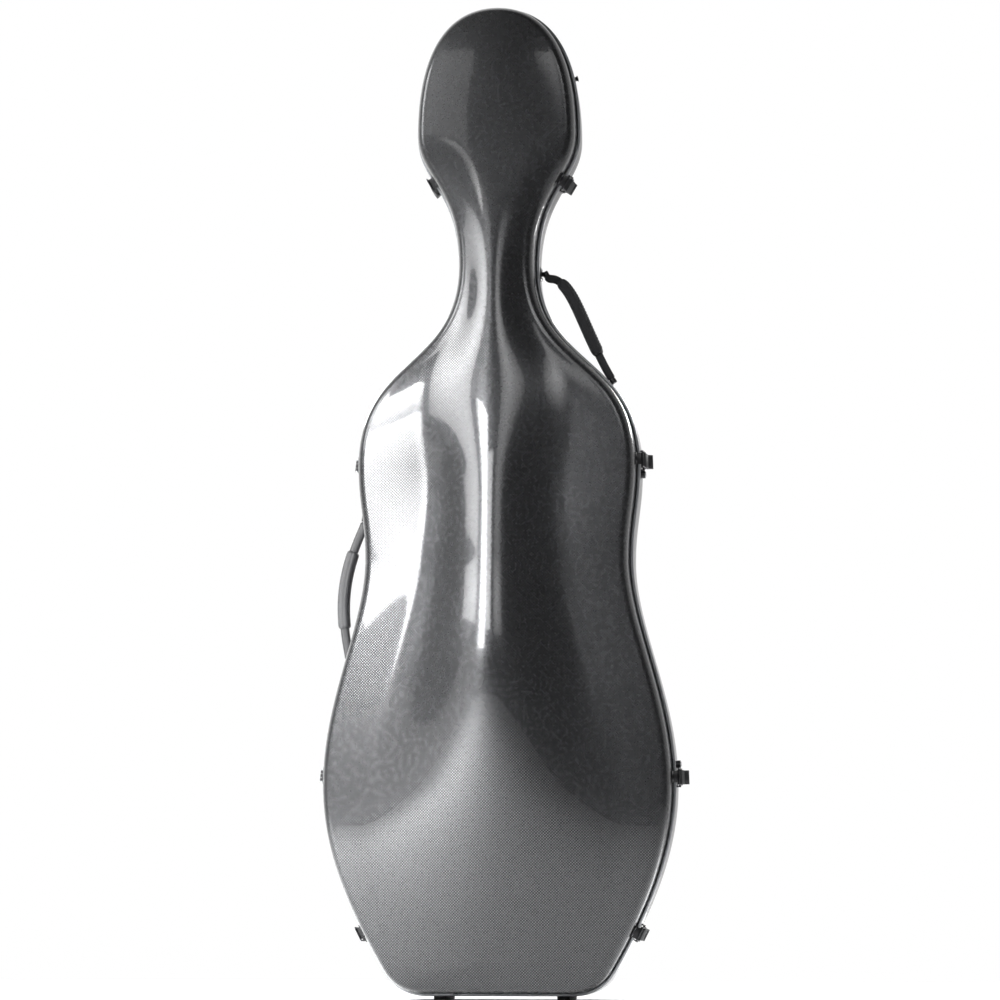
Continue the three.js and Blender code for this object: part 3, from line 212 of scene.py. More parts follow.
def makeLamps():
    for name, (direction, distance, high, width, height, brightness, spread, aim) in lamps.items():
        angle = math.radians(direction)
        place = Vector((distance * math.sin(angle), -distance * math.cos(angle), high))
        half = math.radians(spread) / 2
        # how much brighter the same watts are behind the grid
        gathered = math.tan(half) / (math.tan(half) - half)
        watts = brightness * math.pi * width * height / gathered
        addLamp(name, place, (0, 0, aim), width, height, watts, spread)
    for name, (place, width, deep, watts, spread) in floorLamps.items():
        addLamp(name, place, (place[0], place[1], 0), width, deep, watts, spread)


# The room that the gloss reflects is light behind the case, darker in front of it, and darker to the right.
# The fades run over parts of a direction: -1 is left or in front, and 1 is right or behind.

room = {
    "front": (0.45, 0.075),       # brightness in front of the case, at the left and at the right
    "frontFade": (-0.8, 0.3),
    "behind": (1.0, 0.4),         # and behind it
    "behindFade": (-0.3, 0.3),
    "frontToBehind": (0.05, 0.45),
}


def makeRoom():
    world = bpy.data.worlds.new("room")
    bpy.context.scene.world = world
    world.use_nodes = True
    n = Nodes(world.node_tree)
    n.tree.nodes.clear()
    across, depth, _ = n.parts(n.node("ShaderNodeTexCoord", {}, {}, "Generated"))

    def ramp(wire, fade, values):
        return n.node("ShaderNodeMapRange", {"interpolation_type": "SMOOTHSTEP"}, {
            0: wire, 1: fade[0], 2: fade[1], 3: values[0], 4: values[1],
        })

    front = ramp(across, room["frontFade"], room["front"])
    behind = ramp(across, room["behindFade"], room["behind"])
    share = ramp(depth, room["frontToBehind"], (0, 1))
    glow = n.node("ShaderNodeMix", {}, {"Factor": share, "A": front, "B": behind})
    reflected = n.node("ShaderNodeBackground", {}, {"Color": glow})
    white = n.node("ShaderNodeBackground", {}, {"Color": (1, 1, 1, 1)})
    seen = n.node("ShaderNodeLightPath", {}, {}, "Is Camera Ray")
    both = n.node("ShaderNodeMixShader", {}, {0: seen, 1: reflected, 2: white})
    feed(n.tree, n.tree.nodes.new("ShaderNodeOutputWorld").inputs[0], both)
    view = bpy.context.scene.view_settings
    view.view_transform = "Standard"
    view.look = "None"


# Finishes

class Finish(Nodes):
    def __init__(self, name):
        self.material = bpy.data.materials.new(name)
        self.material.use_nodes = True
        super().__init__(self.material.node_tree)
        self.tree.nodes.clear()

    def place(self):
        return self.node("ShaderNodeTexCoord", {}, {}, "Object")

    # Metres across and along the threads of a cloth
    def cloth(self):
        return self.parts(self.node("ShaderNodeUVMap", {"uv_map": "weave"}, {}))[:2]

    def noise(self, place, scale, detail):
        return self.node("ShaderNodeTexNoise", {}, {
            "Vector": place, "Scale": scale, "Detail": detail, "Roughness": 0.55,
        })

    def stretched(self, place, scale):
        return self.node("ShaderNodeVectorMath", {"operation": "MULTIPLY"}, {0: place, 1: scale})

    def mixed(self, share, one, two):
        return self.node("ShaderNodeMix", {"data_type": "RGBA"}, {0: share, 6: one, 7: two}, 2)

    def bump(self, pattern, height, strength):
        return self.node("ShaderNodeBump", {}, {
            "Height": pattern, "Distance": height, "Strength": strength,
        })

    def done(self, values):
        surface = self.node("ShaderNodeBsdfPrincipled", {}, values)
        feed(self.tree, self.tree.nodes.new("ShaderNodeOutputMaterial").inputs[0], surface)
        return self.material


# A colour for a socket, made darker or lighter
def tone(color, factor=1):
    return (*(c * factor for c in color), 1)


# A value that a pattern raises and lowers by half of the amount
def varied(value, pattern, amount):
    return value + (pattern - 0.5) * amount


laminate = {
    "thread": 1.95 * mm,
    "wander": 1.2 * mm,         # how far a thread strays
    # warp and weft are one fibre: the warp's lighter colour is painted sheen and the weft's darker colour is
    # painted shade, laid in the weave's real checker
    "warpSheenColor": (0.17, 0.173, 0.18),
    "weftShadeColor": (0.024, 0.024, 0.026),
    # painted shade in the dips between threads
    "gapShadeColor": (0.01, 0.01, 0.011),
    "patchLow": 0.86,           # darker and lighter patches of the cloth
    "patchRange": 0.28,
    "threadHeight": 0.06 * mm,
    "roughness": 0.27,
    "smear": 0.1,               # how much the roughness changes
    "metallic": 0.8,
    "coatRoughness": 0.025,
}


def laminateFinish():
    s = laminate
    f = Finish("wovenLaminate")
    place = f.place()
    stray = f.noise(place, scale=9.0, detail=2.0) - 0.5
    u, v = f.cloth()
    across = (u + stray * s["wander"]) / s["thread"]
    along = (v - stray * s["wander"]) / s["thread"]
    checker = ((across.floor() + along.floor()) * 0.5).fract() > 0.25
    hump = (across.fract() * math.pi).sine() * (along.fract() * math.pi).sine()
    hump = hump ** 0.5
    patch = f.noise(f.stretched(place, (1, 1, 0.35)), scale=14.0, detail=4.0)
    # the checker is the real weave; its light and dark threads are painted sheen and painted shade
    thread = f.mixed(checker, tone(s["weftShadeColor"]), tone(s["warpSheenColor"]))
    # painted shade: the weave turns near black where the threads dip
    woven = f.mixed(hump, tone(s["gapShadeColor"]), thread)
    return f.done({
        "Base Color": f.node("ShaderNodeHueSaturation", {}, {
            "Color": woven, "Value": s["patchLow"] + patch * s["patchRange"],
        }),
        "Metallic": s["metallic"],
        "Roughness": varied(s["roughness"], f.noise(place, scale=160.0, detail=2.0), s["smear"]),
        "Normal": f.bump(hump, height=s["threadHeight"], strength=0.6),
        "Coat Weight": 1.0,
        "Coat Roughness": s["coatRoughness"],
        "Coat IOR": 1.5,
    })


def paintFinish(name, color, roughness, metallic, coat):
    f = Finish(name)
    place = f.place()
    cloud = f.noise(place, scale=22.0, detail=4.0)
    grain = f.noise(place, scale=900.0, detail=2.0)
    return f.done({
        "Base Color": f.mixed(cloud, tone(color, factor=0.78), tone(color)),
        "Metallic": metallic,
        "Roughness": varied(roughness, cloud, amount=0.16),
        "Normal": f.bump(grain, height=0.03 * mm, strength=0.5),
        "Coat Weight": coat,
        "Coat Roughness": 0.08,
    })


def steelFinish(name, color, roughness):
    f = Finish(name)
    place = f.place()
    brushed = f.noise(f.stretched(place, (1, 1, 14)), scale=260.0, detail=3.0)
    cloud = f.noise(place, scale=45.0, detail=3.0)
    return f.done({
        "Base Color": f.mixed(cloud, tone(color, factor=0.7), tone(color)),
        "Metallic": 1.0,
        "Roughness": varied(roughness, brushed, amount=0.2),
        "Normal": f.bump(brushed, height=0.02 * mm, strength=0.5),
    })


def mouldedFinish(name, color, roughness, grainScale, grain):
    f = Finish(name)
    place = f.place()
    pebbles = f.node("ShaderNodeTexVoronoi", {"feature": "SMOOTH_F1"}, {
        "Vector": place, "Scale": grainScale,
    })
    cloud = f.noise(place, scale=30.0, detail=3.0)
    worn = tone([c * 1.5 + 0.01 for c in color])
    return f.done({
        "Base Color": f.mixed(cloud, tone(color), worn),
        "Roughness": varied(roughness, cloud, amount=0.15),
        "Normal": f.bump(pebbles, height=grain, strength=0.7),
    })


clothSheen = {"Sheen Weight": 0.25, "Sheen Roughness": 0.5}


def webbingFinish(name, color, thread):
    f = Finish(name)
    u, v = f.cloth()
    across = u / thread
    along = v / thread
    rib = ((across + along * 0.5).fract() * math.pi).sine()
    pick = (along.fract() * math.pi).sine()
    height = rib * 0.7 + pick * 0.3
    fuzz = f.noise(f.place(), scale=700.0, detail=3.0)
    return f.done({
        # painted shade: the colour darkens to 0.35 of itself in the grooves between ribs and picks, and the fuzz
        # varies it at random
        "Base Color": f.mixed(height * (0.7 + fuzz * 0.6), tone(color, factor=0.35), tone(color)),
        "Roughness": varied(0.78, fuzz, amount=0.2),
        "Normal": f.bump(height, height=0.25 * mm, strength=0.8),
        **clothSheen,
    })


# A twisted cord or thread: slanting strands and loose fibres, with painted shade in the grooves between the
# strands
def cordFinish(name, color, strand):
    f = Finish(name)
    place = f.place()
    twist = f.node("ShaderNodeTexWave", {"bands_direction": "DIAGONAL"}, {
        "Vector": place, "Scale": 0.3 / strand, "Distortion": 1.2, "Detail": 2.0,
    })
    fuzz = f.noise(place, scale=900.0, detail=3.0)
    return f.done({
        # painted shade: darker where the twist dips between strands, varied at random by the fuzz
        "Base Color": f.mixed(twist * 0.7 + fuzz * 0.4, tone(color, factor=0.4), tone(color)),
        "Roughness": varied(0.8, fuzz, amount=0.2),
        "Normal": f.bump(twist, height=0.15 * mm, strength=0.7),
        **clothSheen,
    })


def plushFinish(name, color):
    f = Finish(name)
    place = f.place()
    pile = f.noise(place, scale=1500.0, detail=2.0)
    brushed = f.noise(f.stretched(place, (1, 1, 0.3)), scale=18.0, detail=3.0)
    return f.done({
        # painted shade: darker where the pile and its brushed streaks lie low
        "Base Color": f.mixed(brushed * 0.6 + pile * 0.5, tone(color, factor=0.45), tone(color)),
        "Roughness": varied(0.9, pile, amount=0.15),
        "Normal": f.bump(pile + brushed * 0.4, height=0.6 * mm, strength=0.7),
        "Sheen Weight": 0.7,
        "Sheen Roughness": 0.4,
        "Sheen Tint": (0.9, 0.5, 0.55, 1),
    })


finishes = {
    "laminate": laminateFinish(),
    # colour, roughness, metallic, coat
    "lidBead": paintFinish("lidBeadPaint", (0.42, 0.43, 0.45), 0.3, 0.5, 0.6),
    "backBead": paintFinish("backBeadPaint", (0.085, 0.086, 0.09), 0.35, 0.3, 0.5),
    "blackMetal": paintFinish("blackMetal", (0.022, 0.022, 0.024), 0.38, 0.4, 0.3),
    # colour, roughness
    "steel": steelFinish("platedSteel", (0.60, 0.61, 0.63), 0.28),
    "darkSteel": steelFinish("darkSteel", (0.06, 0.06, 0.065), 0.35),
    "screwSteel": steelFinish("screwSteel", (0.28, 0.28, 0.29), 0.3),
    # colour, roughness, pebbles in a metre, height of the grain
    "plastic": mouldedFinish("mouldedPlastic", (0.024, 0.0245, 0.026), 0.5, 1400.0, 0.05 * mm),
    "rubber": mouldedFinish("rubber", (0.022, 0.022, 0.023), 0.72, 900.0, 0.08 * mm),
    "handlePlastic": mouldedFinish("handlePlastic", (0.04, 0.04, 0.042), 0.46, 1200.0, 0.06 * mm),
    "handleCover": mouldedFinish("handleCover", (0.062, 0.062, 0.064), 0.55, 1000.0, 0.1 * mm),
    # the cover's moulding made darker for the grip's inner half, which faces the wall: painted shade
    "handleInner": mouldedFinish("handleInner", (0.04, 0.04, 0.042), 0.5, 1000.0, 0.08 * mm),
    # colour, and thickness of a thread or strand
    "webbing": webbingFinish("webbing", (0.035, 0.035, 0.038), 1.6 * mm),
    "sleeve": webbingFinish("sleeveFabric", (0.03, 0.03, 0.033), 0.9 * mm),
    "piping": cordFinish("pipingCloth", (0.12, 0.012, 0.03), 0.8 * mm),
    "thread": cordFinish("sewingThread", (0.08, 0.08, 0.085), 0.4 * mm),
    "plush": plushFinish("winePlush", (0.20, 0.022, 0.05)),
}
print("finishes:", len(finishes))


# Paths: rows of points, one point in each row

# Lengths from the start of a path to each of its points
def lengthsAlong(path):
    return np.concatenate([[0], np.cumsum(np.linalg.norm(np.diff(path, axis=0), axis=1))])


# The same path with its points at even steps
def evenly(path, count):
    lengths = lengthsAlong(path)
    steps = np.linspace(0, lengths[-1], count)
    return np.stack([np.interp(steps, lengths, column) for column in path.T], axis=1)


# Rounds the corners of a path off and leaves its ends where they are
def rounded(path, rounds):
    for _ in range(rounds):
        path[1:-1] = (path[:-2] + 2 * path[1:-1] + path[2:]) / 4
    return path


def unit(rows):
    return rows / np.linalg.norm(rows, axis=1)[:, None]


# The way out at each point of a path that lies square to the direction across
def waysOut(path, across):
    return unit(np.cross(across, np.gradient(path, axis=0)))


def bezier(points, steps):
    t = np.linspace(0, 1, steps)[:, None]
    n = len(points) - 1
    return sum(math.comb(n, i) * (1 - t) ** (n - i) * t ** i * np.array(p) for i, p in enumerate(points))


# Meshes. From these angles on, in degrees, an edge stays sharp.

skinSharp = 50
fittingSharp = 40
samePoint = 0.02 * mm


def newObject(name, mesh, material):
    mesh.materials.clear()
    mesh.materials.append(material)
    obj = bpy.data.objects.new(name, mesh)
    bpy.context.scene.collection.objects.link(obj)
    return obj


def smoothShade(mesh, angle):
    mesh.shade_smooth()
    mesh.set_sharp_from_angle(angle=math.radians(angle))


def meshOf(name, bm):
    mesh = bpy.data.meshes.new(name)
    bm.to_mesh(mesh)
    bm.free()
    return mesh


# Rings of points joined to one closed skin. uvs, in metres, follow the rings.
def skinOf(name, rings, uvs=None):
    count = len(rings[0])
    bm = bmesh.new()
    layer = bm.loops.layers.uv.new("weave")
    verts = [[bm.verts.new(point) for point in ring] for ring in rings]
    for r in range(len(rings) - 1):
        for i in range(count):
            k = (i + 1) % count
            corners = ((r, i), (r, k), (r + 1, k), (r + 1, i))
            face = bm.faces.new([verts[a][b] for a, b in corners])
            if uvs is not None:
                for faceCorner, (a, b) in zip(face.loops, corners):
                    faceCorner[layer].uv = uvs[a][b]
    bmesh.ops.remove_doubles(bm, verts=bm.verts, dist=samePoint)
    bmesh.ops.recalc_face_normals(bm, faces=bm.faces)
    return meshOf(name, bm)


# Closes a row of rings at both ends, with each end ring's middle
def capped(rings):
    first, last = (np.repeat(ring.mean(axis=0)[None], len(ring), axis=0) for ring in (rings[0], rings[-1]))
    return [first, *rings, last]


# Turns the modifiers of an object into a plain mesh
def baked(obj, name):
    graph = bpy.context.evaluated_depsgraph_get()
    mesh = bpy.data.meshes.new_from_object(obj.evaluated_get(graph), depsgraph=graph)
    old = obj.data
    obj.modifiers.clear()
    obj.data = mesh
    mesh.name = name
    bpy.data.meshes.remove(old)


def added(obj, body):
    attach(obj, body)


def replaceNode(obj, node, body):
    added(obj, body)
    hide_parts(node)


# The outline of the walls at the seam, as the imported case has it, in millimetres

levels = {
    "bottom": 10, "low": 60, "lowerBout": 292, "bridge": 432, "waist": 600, "upperBout": 728,
    "neck": 1005, "head": 1187, "top": 1362,
}
outline = {
    "cornerHalf": 138,
    "cornerTangent": 38,
    "cornerLean": 0.5,
    "slopeReach": 0.36,
    "bouts": [  # half-width, height, and how far the control points reach before and after
        (238.5, levels["lowerBout"], 0.36, 0.39),
        (180.5, levels["waist"], 0.29, 0.4),
        (190.5, levels["upperBout"], 0.4, 0.554),
        (51.5, levels["neck"], 0.525, 0.6),
        (109, levels["head"], 0.328, 0.663),
    ],
    "topReach": 0.62,
    "cornerSteps": 60,
    "curveSteps": 400,
    "points": 560,  # round the whole outline
}


def outlinePath():
    bottom = levels["bottom"]
    top = levels["top"]
    steps = outline["curveSteps"]
    corner = np.array([outline["cornerHalf"], bottom], float)
    lean = np.array([outline["cornerLean"], math.sqrt(1 - outline["cornerLean"] ** 2)])
    start = corner - np.array([outline["cornerTangent"], 0])
    end = corner + lean * outline["cornerTangent"]
    bouts = outline["bouts"]
    half, height, before, _ = bouts[0]
    rise = height - end[1]
    slope = end + lean * rise * outline["slopeReach"]
    runs = [
        np.array([[0, bottom], start]),
        bezier([start, corner, end], outline["cornerSteps"]),
        bezier([end, slope, (half, height - rise * before), (half, height)], steps),
    ]
    for (half0, height0, _, after), (half1, height1, before, _) in zip(bouts, bouts[1:]):
        rise = height1 - height0
        runs.append(bezier([
            (half0, height0), (half0, height0 + rise * after),
            (half1, height1 - rise * before), (half1, height1),
        ], steps))
    half, height, _, after = bouts[-1]
    runs.append(bezier([
        (half, height), (half, height + (top - height) * after),
        (half * outline["topReach"], top), (0, top),
    ], steps))
    return np.concatenate([runs[0]] + [run[1:] for run in runs[1:]])


wallPath = outlinePath()
rightHalf = evenly(wallPath, outline["points"] // 2 + 1)
loop = np.concatenate([rightHalf, rightHalf[-2:0:-1] * [-1, 1]])
tangents = unit(np.roll(loop, -1, axis=0) - np.roll(loop, 1, axis=0))
outward = np.stack([tangents[:, 1], -tangents[:, 0]], axis=1)
heights = loop[:, 1]
print("outline:", len(loop), "points")


# The shells and their linings: dishes over the outline, in millimetres. A pair gives a value for the body
# and one for the neck and head, and a row of six gives one for each station. The spine runs between two
# heights. At the bottom the wall is shallower by the fall, and past its straight part it sinks by the drop.

stationNames = ("low", "bridge", "waist", "upperBout", "neck", "head")
stations = np.array([levels[name] for name in stationNames], float)
lidForm = {
    "sign": -1, "wall": (38, 36), "rollIn": (12, 12), "rollDepth": (20, 20), "fall": 8,
    "crown": (10, 74, 60, 48, 18, 10), "ridge": (0.9, 0.72, 0.62, 0.56, 1, 1),
    "arch": (0.6, 0.2, 0.2, 0.2, 0.6, 1), "spine": (60, 1262), "drop": 0, "straight": 0,
}
backForm = {
    "sign": 1, "wall": (62, 44), "rollIn": (40, 25.75), "rollDepth": (55, 34), "fall": 0,
    "crown": (16, 48, 40, 36, 14, 16), "ridge": (1, 1, 1, 1, 1, 1),
    "arch": (1, 1, 1, 1, 1, 1), "spine": (80, 1250), "drop": 5, "straight": 9.3,
}
dishShape = {"roll": 12, "crown": 30, "leastRoll": 2, "dropFade": 90, "fallFade": 280, "spineEase": 50}
liningInset = 3.8  # the wall and the gap behind it
dishes = {
    "lid": {
        "form": lidForm, "inset": 0, "thick": 3, "edge": 2.6,
        "finish": "laminate", "slot": "laminate", "node": "lid_shell", "body": "lid",
    },
    "back": {
        "form": backForm, "inset": 0, "thick": 3, "edge": 2.6,
        "finish": "laminate", "slot": "laminate", "node": "back_shell", "body": "back",
    },
    "lidLining": {
        "form": lidForm, "inset": liningInset, "thick": 7, "edge": 2.3, "fill": 0.3,
        "finish": "plush", "slot": "lining", "node": "lid_liner", "body": "lid",
    },
    "backLining": {
        "form": backForm, "inset": liningInset, "thick": 11, "edge": 5.6, "fill": 0.3,
        "finish": "plush", "slot": "lining", "node": "back_liner", "body": "back",
    },
}


def eased(share):
    x = np.clip(share, 0, 1)
    return x * x * (3 - 2 * x)


# A value that passes smoothly through the stations of the body
def alongBody(values, height):
    v = np.array(values, float)
    slopes = np.zeros(len(v))
    slopes[0] = (v[1] - v[0]) / (stations[1] - stations[0])
    slopes[1:-1] = (v[2:] - v[:-2]) / (stations[2:] - stations[:-2])
    h = np.clip(height, stations[0], stations[-1])
    i = np.clip(np.searchsorted(stations, h, side="right") - 1, 0, len(v) - 2)
    span = stations[i + 1] - stations[i]
    t = (h - stations[i]) / span
    return (
        (2 * t ** 3 - 3 * t ** 2 + 1) * v[i] + (t ** 3 - 2 * t ** 2 + t) * span * slopes[i]
        + (3 * t ** 2 - 2 * t ** 3) * v[i + 1] + (t ** 3 - t ** 2) * span * slopes[i + 1]
    )


def bodyOrNeck(pair, height):
    share = eased((height - levels["upperBout"]) / (levels["neck"] - levels["upperBout"]))
    return pair[0] + (pair[1] - pair[0]) * share


# How near a height is to the bottom: 1 there, and 0 above the fade
def nearBottom(height, fade):
    return 1 - eased((height - levels["bottom"]) / fade)


# Depth of the walls: less at the neck, and falling towards the bottom
def wallDepth(form, height):
    return bodyOrNeck(form["wall"], height) - form["fall"] * nearBottom(height, dishShape["fallFade"])


# Keeps a height between two limits, and eases into them
def held(height, low, high, ease):
    def over(h, limit):
        near = (h - limit + ease) ** 2 / (4 * ease)
        return np.where(h > limit + ease, h, np.where(h < limit - ease, limit, limit + near))
    return -over(-over(height, low), -high)


# From the edge up the wall and over the roll: distances in from the outline, and depths from the seam
def wallProfile(form, inset, edge):
    flat = np.ones(len(loop))
    inward = np.maximum(bodyOrNeck(form["rollIn"], heights) - inset, dishShape["leastRoll"])
    wall = wallDepth(form, heights)
    deep = bodyOrNeck(form["rollDepth"], heights) - inset
    profile = [(inset * flat, edge * flat)]
    for depth in (form["straight"] * flat, 0.5 * (form["straight"] + wall)):
        if np.all(depth > edge):
            profile.append((inset * flat, depth))
    for angle in np.linspace(0, math.pi / 2, dishShape["roll"]):
        profile.append((inset + inward * (1 - math.cos(angle)), wall + deep * math.sin(angle)))
    return profile


# The cloth lies flat on the panel, from the given base, and runs on over the roll and down the wall
def clothDownWall(profile, base):
    run = np.zeros(len(loop))
    lastOffset, lastDepth = profile[-1]
    uvs = []
    for offset, depth in reversed(profile):
        run = run + np.hypot(offset - lastOffset, depth - lastDepth)
        uvs.append(base + outward * run[:, None])
        lastOffset, lastDepth = offset, depth
    return uvs[::-1]


# One skin of a dish: the wall, the roll, and the panel that rises to its spine
def dishRings(form, inset, edge):
    profile = wallProfile(form, inset, edge)
    wall = wallDepth(form, heights)
    low = nearBottom(heights, dishShape["dropFade"])
    rings = []
    for offset, depth in profile:
        away = eased((depth - form["straight"]) / (wall - form["straight"]))
        x, z = (loop - outward * offset[:, None]).T
        rings.append(np.stack([x, form["sign"] * depth, z - form["drop"] * low * away], axis=1))
    baseX, _, baseZ = rings[-1].T
    uvs = clothDownWall(profile, np.stack([baseX, baseZ], axis=1))
    spine = held(heights, *form["spine"], dishShape["spineEase"])
    arch = alongBody(form["arch"], heights)
    ridge = alongBody(form["ridge"], heights)
    crown = alongBody(form["crown"], spine)

    def level(height):
        return wallDepth(form, height) + bodyOrNeck(form["rollDepth"], height) - inset

    for s in np.linspace(0, 1, dishShape["crown"] + 1)[1:]:
        share = arch * (1 - (1 - s) ** 2) + (1 - arch) * eased((s - 1 + ridge) / ridge)
        depth = level(heights) * (1 - s) + level(spine) * s + crown * share
        x = baseX * (1 - s)
        z = baseZ * (1 - s) + spine * s
        rings.append(np.stack([x, form["sign"] * depth, z], axis=1))
        uvs.append(np.stack([x, z], axis=1))
    return rings, uvs


def inFrame(ring):
    return ring * mm + np.array([middleX, seamY, 0])


def makeShells():
    for name, d in dishes.items():
        outer, outerUv = dishRings(d["form"], d["inset"], d["edge"])
        inner, innerUv = dishRings(d["form"], d["inset"] + d["thick"], d["edge"])
        rings = [inFrame(ring) for ring in outer[::-1] + inner]
        mesh = skinOf(name, rings, [uv * mm for uv in outerUv[::-1] + innerUv])
        smoothShade(mesh, skinSharp)
        piece = newObject(name, mesh, finishes[d["finish"]])
        replaceNode(piece, d["node"], d["body"])


# Places on the walls: height of the middle of each flat land and half its length, in millimetres

lands = {
    "corner": (94, 15), "lower": (306, 23), "handleLow": (460, 13), "handleHigh": (664, 13),
    "upper": (733, 23), "shoulder": (843, 9), "neck": (999, 9), "latch": (1125, 15),
}


def wallPoint(height):
    return np.array([np.interp(height, wallPath[:, 1], wallPath[:, 0]), height])


# Takes a place on a land, in millimetres out of the wall, behind the seam and up the edge, to the frame
def landFrame(name, side):
    height, half = lands[name]
    lean = wallPoint(height + 1) - wallPoint(height - 1)
    rise = half * lean[1] / np.linalg.norm(lean)
    low, high = wallPoint(height - rise), wallPoint(height + rise)
    alongX, alongZ = (high - low) / np.linalg.norm(high - low)
    middle = (low + high) / 2
    return Matrix((
        (side * alongZ * mm, 0, side * alongX * mm, middleX + side * middle[0] * mm),
        (0, mm, 0, seamY),
        (-alongX * mm, 0, alongZ * mm, middle[1] * mm),
        (0, 0, 0, 1),
    ))


# Geometry Nodes: each tree goes on a mesh as a modifier, and its result is kept as a plain mesh

class Growth(Nodes):
    def __init__(self, name, inputs):
        super().__init__(bpy.data.node_groups.new(name, "GeometryNodeTree"))
        sockets = self.tree.interface
        for key, kind in {"Geometry": "Geometry", **inputs, "Material": "Material"}.items():
            sockets.new_socket(key, in_out="INPUT", socket_type="NodeSocket" + kind)
        sockets.new_socket("Geometry", in_out="OUTPUT", socket_type="NodeSocketGeometry")
        self.start = self.tree.nodes.new("NodeGroupInput")
        self.end = self.tree.nodes.new("NodeGroupOutput")

    def given(self, name):
        return Wire(self.tree, self.start.outputs[name])

    def together(self, geometries):
        joined = self.node("GeometryNodeJoinGeometry", {}, {})
        for geometry in geometries:
            feed(self.tree, joined.socket.node.inputs[0], geometry)
        return joined

    def curve(self):
        return self.node("GeometryNodeMeshToCurve", {}, {"Mesh": self.given("Geometry")})

    def swept(self, curve, section):
        return self.node("GeometryNodeCurveToMesh", {}, {"Curve": curve, "Profile Curve": section})

    def objectGiven(self, name):
        return self.node("GeometryNodeObjectInfo", {}, {"Object": self.given(name)}, "Geometry")

    def copies(self, points, piece, turn):
        return self.node("GeometryNodeInstanceOnPoints", {}, {
            "Points": points, "Instance": piece, "Rotation": turn,
        })

    def done(self, geometry):
        plain = self.node("GeometryNodeRealizeInstances", {}, {"Geometry": geometry})
        finished = self.node("GeometryNodeSetMaterial", {}, {
            "Geometry": plain, "Material": self.given("Material"),
        })
        feed(self.tree, self.end.inputs[0], finished)
        return self.tree


def grown(name, mesh, tree, values):
    obj = bpy.data.objects.new(name, mesh)
    bpy.context.scene.collection.objects.link(obj)
    modifier = obj.modifiers.new("growth", "NODES")
    modifier.node_group = tree
    for socket in tree.interface.items_tree:
        if socket.in_out == "INPUT" and socket.name in values:
            modifier[socket.identifier] = values[socket.name]
    baked(obj, name)
    bm = bmesh.new()
    bm.from_mesh(obj.data)
    bmesh.ops.recalc_face_normals(bm, faces=bm.faces)
    bm.to_mesh(obj.data)
    bm.free()
    smoothShade(obj.data, fittingSharp)
    return obj


# A mesh of edges through one or more rows of points
def pathMesh(name, rows, closed=False):
    points = []
    joints = []
    for row in rows:
        first = len(points)
        count = len(row)
        joints += [(first + i, first + (i + 1) % count) for i in range(count if closed else count - 1)]
        points += [tuple(point) for point in row]
    mesh = bpy.data.meshes.new(name)
    mesh.from_pydata(points, joints, [])
    return mesh


# Beads and seal: a rounded section with a flat lip, carried along the outline of the case, in millimetres

edges = {
    "lidBead": {
        "sign": -1, "far": 12, "inside": 0.2, "outside": 4.3, "radius": 2.0,
        "lipInside": -3, "lipFar": 2.3,
        "finish": "lidBead", "node": "lid_rim", "body": "lid", "slot": "bead",
    },
    "backBead": {
        "sign": 1, "far": 9, "inside": 0.2, "outside": 2.3, "radius": 1.0,
        "lipInside": -3, "lipFar": 2.3,
        "finish": "backBead", "node": "back_rim", "body": "back", "slot": "dark_bead",
    },
    "seal": {
        "sign": 1, "far": 5.3, "inside": -5.9, "outside": -3.7, "radius": 1.0,
        "lipInside": -6.3, "lipFar": 1.4,
        "finish": "rubber", "node": "rim_seal", "body": "back", "slot": "rubber",
    },
}
edgeRounding = {"lipRadius": 0.4, "steps": 5}
piping = {"inset": 9.5, "radius": 1.2}
wireSides = 8


def edgeTree():
    sizes = ("Near", "Far", "Inside", "Outside", "Radius", "Lip Inside", "Lip Outside", "Lip Far")
    g = Growth("edge", {size: "Float" for size in sizes})
    near = g.given("Near")

    def section(far, inside, outside, radius):
        values = {}
        for i, (depth, out) in enumerate(((near, outside), (far, outside), (far, inside), (near, inside))):
            values[f"Point {i + 1}"] = g.node("ShaderNodeCombineXYZ", {}, {0: depth, 1: out * -1})
        sharp = g.node("GeometryNodeCurvePrimitiveQuadrilateral", {"mode": "POINTS"}, values)
        return g.node("GeometryNodeFilletCurve", {"mode": "POLY"}, {
            "Curve": sharp, "Count": edgeRounding["steps"], "Radius": radius, "Limit Radius": True,
        })

    path = g.node("GeometryNodeSetCurveNormal", {"mode": "FREE"}, {"Curve": g.curve(), "Normal": (0, 1, 0)})
    bead = section(g.given("Far"), g.given("Inside"), g.given("Outside"), g.given("Radius"))
    lipRadius = edgeRounding["lipRadius"] * mm
    lip = section(g.given("Lip Far"), g.given("Lip Inside"), g.given("Lip Outside"), lipRadius)
    return g.done(g.together([g.swept(path, bead), g.swept(path, lip)]))


# A round wire or cord along a path
def wireTree():
    g = Growth("wire", {"Radius": "Float"})
    circle = g.node("GeometryNodeCurvePrimitiveCircle", {}, {
        "Resolution": wireSides, "Radius": g.given("Radius"),
    })
    return g.done(g.swept(g.curve(), circle))


def outlineMesh(name, offset, depth):
    x, z = (loop + outward * offset).T
    ring = inFrame(np.stack([x, np.full(len(loop), float(depth)), z], axis=1))
    return pathMesh(name, [ring], closed=True)


